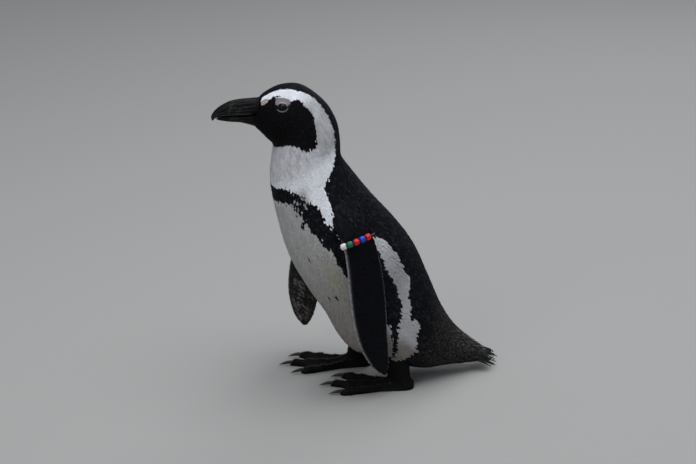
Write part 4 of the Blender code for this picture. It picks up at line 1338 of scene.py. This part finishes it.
def buildFringe(name, bill, material):
    # Short black feathers that run forward onto the bill's base, in a point at the gape.
    points, outward = meshPoints(bill.data), meshPoints(bill.data, "normal")
    home = turnHead(points - fromFeet, -headTurn) / mm
    along = billShare(home[:, 1])
    height = home[:, 2] - fringeSet["gapeHeight"]
    ragged = fringeSet["ragged"] * np.sin(height * 2.3)
    end = fringeSet["edge"] + fringeSet["point"] * bump(0, 8, height) + ragged
    chosen = np.flatnonzero((along < end) & (along > -0.06))
    chosen = rng.choice(chosen, min(fringeSet["count"], len(chosen)), replace=False)
    points, outward, home = points[chosen], outward[chosen], home[chosen]
    count = len(chosen)
    points = points + rng.normal(0, fringeSet["stray"] * mm, points.shape)
    back = turnWay(0, 1, 0)
    heading = unit(back - outward * (outward @ back)[:, None])
    length = fringeSet["length"] * mm * rng.uniform(*fringeSet["lengthStray"], count)
    reach = fringeSet["reach"] * mm
    lay = layOnSkin(points, heading, np.cross(heading, outward), outward, length, bill, reach)
    turn = np.arctan2(home[:, 0], height[chosen]) % (2 * pi)
    looks = {
        "width": np.full(count, fringeSet["halfWidth"] * mm),
        "depth": np.full(count, fringeSet["depth"] * mm), **leaning(fringeSet, length),
        "root": np.tile(coatTints["face"], (count, 1)),
        # the tips lighter by chance: painted sheen
        "tip": mix(coatTints["face"], coatTints["faceTip"], rng.random(count)),
        "place": np.column_stack([turn / (2 * pi), np.full(count, 0.998)]),
    }
    vanePieces(name, "short", lay, looks, lay[-1], fringeSet["thick"], material, "feathers")


clawSet = {"length": 13, "radius": 2.5, "base": 0.42, "starts": -0.25, "flatBelow": 0.7, "narrow": 0.8,
           "lowest": 0.15}
clawTints = colourTable(root=(0.014, 0.013, 0.013), tip=(0.10, 0.085, 0.07))


def clawMesh(side, lane):
    # a horn that narrows along an arc down to the floor, flatter below than above
    reach = strandLength(lane) / mm
    tip, before = (np.array((lane * footHalfWidth(y * mm) / mm, -y)) for y in (reach, reach * 0.85))
    heading = (tip - before) / np.linalg.norm(tip - before)
    sideways = np.array((-heading[1], heading[0]))
    v = np.linspace(clawSet["starts"], 1, 30)[:, None]
    angle = fullTurn(20)
    ahead = np.clip(v, 0, 1)
    size = clawSet["radius"] * (1 - ahead ** 1.7) * 0.94 + clawSet["radius"] * 0.06
    base = footSet["toeHeight"] * clawSet["base"]
    middle = base + 0.7 - (base - 0.6) * ahead ** 1.6
    up = np.sin(angle)
    z = middle + up * size * np.where(up < 0, clawSet["flatBelow"], 1.0)
    z = np.maximum(z, clawSet["lowest"])
    flat = tip + v[..., None] * clawSet["length"] * heading
    flat = flat + (np.cos(angle) * size * clawSet["narrow"])[..., None] * sideways
    tints = mix(clawTints["root"], clawTints["tip"], ease(0.55, 1.0, v) * np.ones(angle.shape))
    return tintedTube("claw", placeFoot(np.concatenate([flat, z[..., None]], -1) * mm, side), tints)


scaleSet = {   # sizes are half width, half length and height
    "plateStart": 22, "plateStep": 2.1, "plateHalf": 2.2, "rowStep": 1.7, "grainStep": 1.9, "reach": 1.8,
    "grain": (0.95, 0.95, 0.22), "plateMore": (1.35, 0.15, 0.12), "sizeStray": (0.85, 1.1), "stray": 0.15,
    "inner": (0.62, 0.75), "outer": (1.0, -0.5), "below": -0.6,      # radius and height of the dome's rings
}


def scaleTemplate():
    # a low dome: top point, inner ring, sunk outer ring and the point below
    ring = np.arange(6) / 6 * 2 * pi
    inner, outer = (np.column_stack([np.cos(ring) * radius, np.sin(ring) * radius, np.full(6, height)])
                    for radius, height in (scaleSet["inner"], scaleSet["outer"]))
    points = np.vstack([(0, 0, 1), inner, outer, (0, 0, scaleSet["below"])])
    c = np.arange(6)
    n = (c + 1) % 6
    top = np.column_stack([np.zeros(6, int), 1 + c, 1 + n])
    first = np.column_stack([1 + c, 7 + c, 7 + n])
    second = np.column_stack([1 + c, 7 + n, 1 + n])
    below = np.column_stack([7 + n, 7 + c, np.full(6, 13)])
    return points, np.vstack([top, first, second, below])


def buildFootScales(side, skin, material):
    # broad plates along the ridge of each toe and round grains everywhere else
    toeLanes = (-footSet["sideLane"], 0.0, footSet["sideLane"])
    found = []                                                  # lane, way forward, 1 for a plate
    for toe in toeLanes:
        steps = np.arange(scaleSet["plateStart"] * mm, strandLength(toe) - 1 * mm, scaleSet["plateStep"] * mm)
        found.append((np.full(len(steps), toe), steps, np.ones(len(steps))))
    for number, forward in enumerate(np.arange(1 * mm, 97 * mm, scaleSet["rowStep"] * mm)):
        count = int(2 * footHalfWidth(forward) / (scaleSet["grainStep"] * mm))
        row = staggered(count, number, scaleSet["stray"]) * 2 - 1
        row = row[forward < strandLength(row)]
        away = np.abs(row[:, None] - toeLanes).min(1) * footHalfWidth(forward)
        row = row[(away > scaleSet["plateHalf"] * mm) | (forward < scaleSet["plateStart"] * mm)]
        found.append((row, np.full(len(row), forward), np.zeros(len(row))))
    lane, forward, wide = np.hstack(found)

    def top(forward, lane):
        # the place on top of the foot
        place = np.stack([lane * footHalfWidth(forward), -forward, footTop(forward, lane)], -1)
        return placeFoot(place, side)

    point, along, across = withWays(top, forward, lane, 0.5 * mm, 0.02)
    outward = np.tile((0.0, 0.0, 1.0), (len(point), 1))
    reach = scaleSet["reach"] * mm
    lay = layOnSkin(point, along, across, outward, np.full(len(point), mm), skin, reach)
    root, _, _, sideways, normal, _ = [array[lay[-1]] for array in lay]
    along = np.cross(normal, sideways)
    wide = wide[lay[-1]]
    chance = rng.random(len(root))
    points, faces = scaleTemplate()
    size = (np.array(scaleSet["grain"]) + np.outer(wide, scaleSet["plateMore"])) * mm
    size = size * rng.uniform(*scaleSet["sizeStray"], (len(root), 1))
    local = points[None] * size[:, None]
    coords = (root[:, None] + local[..., :1] * sideways[:, None] + local[..., 1:2] * along[:, None]
              + local[..., 2:] * normal[:, None])
    mesh = makeMesh(side + "_foot_scales", coords.reshape(-1, 3), copiedFaces(faces, len(root), len(points)))
    tints = mix(footTints["scale"], footTints["scaleTop"], chance ** 2 * (0.5 + 0.5 * wide))
    tints = tints[:, None] * np.where(points[:, 2] > 0.5, 1.0, 0.45)[None, :, None]
    paint(mesh, tints.reshape(-1, 3))
    mesh.shade_smooth()
    addPiece(side + "_foot_scales", mesh, material, "foot_skin")


# Each layer of the tail: count, height at the root (1 on top of the wedge, -1 below), height of
# the tips, reach and spread.
tailSet = {
    "layers": ((8, -0.9, 5.2, 0.80, 0.85), (10, -0.45, 5.4, 0.98, 1.0), (9, 0.05, 6.5, 0.70, 0.9),
               (9, 0.5, 10.0, 0.74, 0.75), (10, 1.0, 12.5, 1.0, 0.6), (8, 1.5, 15.0, 0.88, 0.55)),
    "length": 31, "spread": 76, "turn": 7, "rootInside": 12, "rootWidth": 8.5, "halfWidth": 2.0,
    "rootHeight": 18.5, "rootThickness": 15, "clear": 4.9,
    "turnStray": 0.035, "lengthStray": (0.82, 1.0), "tipStray": 0.5, "edgeShare": (0.3, 1.0),
    "shorterAside": 0.10, "roundRoot": 0.6,
}
tailTints = colourTable(dark=(0.0065, 0.0062, 0.0062), edge=(0.16, 0.155, 0.155), shaft=(0.003, 0.003, 0.003))


def tailFeather(layer, number):
    # A stiff narrow vane from inside the rump to its tip: slightly arched, with a shaft, pale thin
    # edges and a ragged point.
    count, rise, tipHeight, reach, fan = layer
    v = np.linspace(0, 1, 22)[:, None]
    angle = fullTurn(12)
    spread = fan * (number - (count - 1) / 2) / ((count - 1) / 2)
    direction = radians(tailSet["spread"] / 2 * spread + tailSet["turn"])
    direction += rng.normal(0, tailSet["turnStray"])
    long = tailSet["length"] * reach * (1 - tailSet["shorterAside"] * spread ** 2)
    long = long * rng.uniform(*tailSet["lengthStray"])
    out = -tailSet["rootInside"] + (tailSet["rootInside"] + long) * v
    ahead = out / tailSet["length"]
    curve = np.sqrt(1 - tailSet["roundRoot"] * spread ** 2)
    rootZ = tailSet["rootHeight"] + rise * tailSet["rootThickness"] / 2 * curve
    rootY = np.mean(bodyRows[0][[0, 2]]) / mm
    tipZ = tipHeight + rng.normal(0, tailSet["tipStray"])
    x = spread * tailSet["rootWidth"] + np.sin(direction) * out
    y = rootY + np.cos(direction) * out
    z = rootZ + (tipZ - rootZ) * ahead
    width = tailSet["halfWidth"] * np.sin(np.clip(v * 1.12, 0, 1) * pi) ** 0.45
    ragged = 1 + 0.22 * np.sin(v * 61 + number * 2) * ease(0.55, 0.95, v)
    width = np.maximum(width * (1 - 0.88 * ease(0.62, 1.0, v)) * ragged, 0.2)
    sideways = np.cos(angle) * width
    thick = (0.30 + 0.3 * bump(0, 0.25, np.cos(angle))) * (1 - 0.6 * ease(0.7, 1.0, v))
    lift = np.sin(angle) * thick + 0.7 * np.sin(angle) ** 2
    grid = np.stack([x + sideways * np.cos(direction), y - sideways * np.sin(direction),
                     np.maximum(z + lift, tailSet["clear"] + 0.3 * np.sin(angle))], -1)
    tint = mix(tailTints["dark"], tailTints["edge"],
               np.abs(np.cos(angle)) ** 6 * ease(0.2, 0.6, v) * rng.uniform(*tailSet["edgeShare"]))
    tint = mix(tint, tailTints["shaft"], bump(0, 0.15, np.cos(angle)))
    return grid * mm + fromFeet, tint


def buildTail(material):
    # fans of vanes one above another, which together make a wedge that thins towards its tips
    points, colours, quads, fans = [], [], [], []
    offset = 0
    for layer in tailSet["layers"]:
        for number in range(layer[0]):
            grid, tint = tailFeather(layer, number)
            walls, caps = tubeFaces(*grid.shape[:2])
            points.append(withEnds(grid))
            colours.append(withEnds(tint))
            quads.append(walls + offset)
            fans.append(caps + offset)
            offset += len(points[-1])
    mesh = makeMesh("tail_feathers", np.vstack(points), np.vstack(quads), np.vstack(fans))
    faceOutwards(mesh)
    paint(mesh, np.vstack(colours))
    mesh.shade_smooth()
    addPiece("tail_feathers", mesh, material, "tail_feathers", "tail")


bandSet = {
    "section": 2.65, "tilt": 4, "strap": 0.8, "bead": 3.8, "beadEnd": 2.5, "hole": 1.25,
    "length": 6.6, "pitch": 7.8, "firstAngle": 12,
    "front": 5.0, "rear": 2.2, "outside": 4.9, "inside": 1.6,      # how far the strap stands off
    "beads": [("white", (0.72, 0.72, 0.69)), ("green", (0.004, 0.14, 0.065)), ("red", (0.60, 0.004, 0.020)),
              ("blue", (0.003, 0.060, 0.50)), ("red", (0.64, 0.008, 0.012))],
    "beadRoughness": 0.28, "cord": (0.02, 0.02, 0.022), "cordRoughness": 0.45,
}


def bandPoint(angle):
    # the loose loop round the flipper: angle 0 in front, a quarter turn on the outer side
    angle = np.atleast_1d(np.asarray(angle, float))
    middle, chord, normal, width, thickness = flipperFrame(np.array(bandSet["section"]))
    down = np.cross(normal, chord)
    tilt = radians(bandSet["tilt"])
    tilted = chord * np.cos(tilt) + down * np.sin(tilt)
    front = width / 2 + np.where(np.cos(angle) > 0, bandSet["front"], bandSet["rear"]) * mm
    outer = thickness / 2 + np.where(np.sin(angle) > 0, bandSet["outside"], bandSet["inside"]) * mm
    return (middle + fromFeet + tilted * (np.cos(angle) * front)[:, None]
            + normal * (np.sin(angle) * outer)[:, None])


def bandLayout():
    # the angles at which the beads meet, a pitch apart along the loop
    angles = radians(bandSet["firstAngle"]) + np.linspace(0, pi, 2000)
    ends = np.arange(len(bandSet["beads"]) + 1) * bandSet["pitch"] * mm
    return np.interp(ends, wayAlong(bandPoint(angles)), angles)


plasticSet = {
    "gloss": 0.3, "coat": 0.12, "coatRoughness": 0.15, "haze": 320, "hazeEnds": (0.35, 0.65),
    "hazeShares": (0.82, 1), "scuff": 900, "scuffRange": (0.8, 1.5), "relief": 0.15, "height": 0.05,
}


def plasticMaterial(name, colour, roughness):
    # moulded plastic: a faint cloudiness in the colour, scuffs in the roughness and a soft bump
    material, shader, nodes, links = newMaterial(name, {
        "Roughness": roughness, "Specular IOR Level": plasticSet["gloss"],
        "Coat Weight": plasticSet["coat"], "Coat Roughness": plasticSet["coatRoughness"]})
    where = addNode(nodes, "TexCoord").outputs["Object"]
    haze = noiseOn(nodes, links, where, plasticSet["haze"])
    ramp = addNode(nodes, "ValToRGB")
    ends = zip(ramp.color_ramp.elements, plasticSet["hazeEnds"], plasticSet["hazeShares"])
    for stop, position, share in ends:
        stop.position = position
        stop.color = (*(np.array(colour) * share), 1)
    links.new(haze, ramp.inputs["Fac"])
    links.new(ramp.outputs["Color"], shader.inputs["Base Color"])
    scuff = noiseOn(nodes, links, where, plasticSet["scuff"], 5.0)
    low, high = (roughness * share for share in plasticSet["scuffRange"])
    links.new(rangeOf(nodes, links, scuff, low, high), shader.inputs["Roughness"])
    addRelief(nodes, links, shader, scuff, plasticSet["relief"], plasticSet["height"])
    return material


def buildBand():
    # The strap is a round cord along the loop: a circle across its way at each point. The beads
    # stand on the loop's front half, each between two of the angles.
    ends = bandLayout()
    rest = np.linspace(ends[-1], ends[0] + 2 * pi, 60)[1:-1]
    route = bandPoint(np.concatenate([np.linspace(ends[0], ends[-1], 40), rest]))
    ahead = unit(np.roll(route, -1, 0) - np.roll(route, 1, 0))
    middle = route.mean(0)
    out = unit((route - middle) - ahead * ((route - middle) * ahead).sum(1, keepdims=True))
    third = np.cross(ahead, out)
    angle = fullTurn(12)[:, None]
    ring = out[:, None] * np.cos(angle) + third[:, None] * np.sin(angle)
    mesh = ringMesh("band_cord", route[:, None] + ring * bandSet["strap"] * mm)
    rubber = plasticMaterial("strap_rubber", bandSet["cord"], bandSet["cordRoughness"])
    addPiece("band_cord", mesh, rubber, "strap", "band_strap")
    for number, (colour, tint) in enumerate(bandSet["beads"]):
        mesh = beadMesh(*bandPoint(ends[number:number + 2]))
        title = "_%d_%s" % (number + 1, colour)
        material = plasticMaterial("plastic" + title, tint, bandSet["beadRoughness"])
        addPiece("barrel" + title, mesh, material, "bead_" + colour, "bead" + title)


def beadMesh(start, end):
    # a barrel with rounded shoulders and a hole, its profile turned about the strap
    axis = unit(end - start)
    out = unit(np.cross(axis, (0.0, 0.0, 1.0)))
    third = np.cross(axis, out)
    half = bandSet["length"] / 2
    bow = np.linspace(-1, 1, 17)
    outerRadius = bandSet["beadEnd"] + (bandSet["bead"] - bandSet["beadEnd"]) * (1 - np.abs(bow) ** 4)
    hole = bandSet["hole"]
    radius = np.concatenate([[hole, hole + 0.4], outerRadius, [hole + 0.4, hole]])
    along = np.concatenate([[-half + 0.3, -half], bow * half * 0.96, [half, half - 0.3]])
    angle = fullTurn(36)[:, None]
    ring = out * np.cos(angle) + third * np.sin(angle)
    grid = (start + end) / 2 + (along[:, None, None] * axis + radius[:, None, None] * ring) * mm
    mesh = ringMesh("bead", grid)
    mesh.set_sharp_from_angle(angle=radians(50))
    return mesh


buildCamera()
buildLights()
buildFloor()
paints = {name: tintMaterial(name, look) for name, look in finishes.items()}
skin = buildSkin(paints["skin"])
print("skin", len(skin.data.polygons))
buildBodyCoat(skin, paints["feathers"])
for name, side in sides.items():
    buildFlipperCoat(side, name + "_flipper_feathers", skin, paints["flipper_feathers"])
for name, side in sides.items():
    buildLegCoat(name, skin, paints["feathers"])
    buildFootScales(name, skin, paints["foot_scales"])
    for toe, lane in (("inner", -1), ("middle", 0), ("outer", 1)):
        mesh = clawMesh(name, lane * footSet["sideLane"] * side)
        claw = "%s_%s" % (name, toe)
        addPiece(claw + "_toe_claw", mesh, paints["claw_horn"], "claw", claw + "_claw")
print("coat and feet")
for name, side in sides.items():
    addPiece(name + "_eyeball", eyeMesh(side), paints["eye"], "eye", name + "_eye")
    addPiece(name + "_lids", lidMesh(side), paints["lid"], "feathers")
for part in ("upper", "lower"):
    bill = addPiece("bill_" + part, billMesh(part), paints["bill_horn"], "horn", part + "_bill")
    buildFringe("fringe_" + part, bill, paints["feathers"])
buildTail(paints["tail_feathers"])
buildBand()
print("head, tail and band")
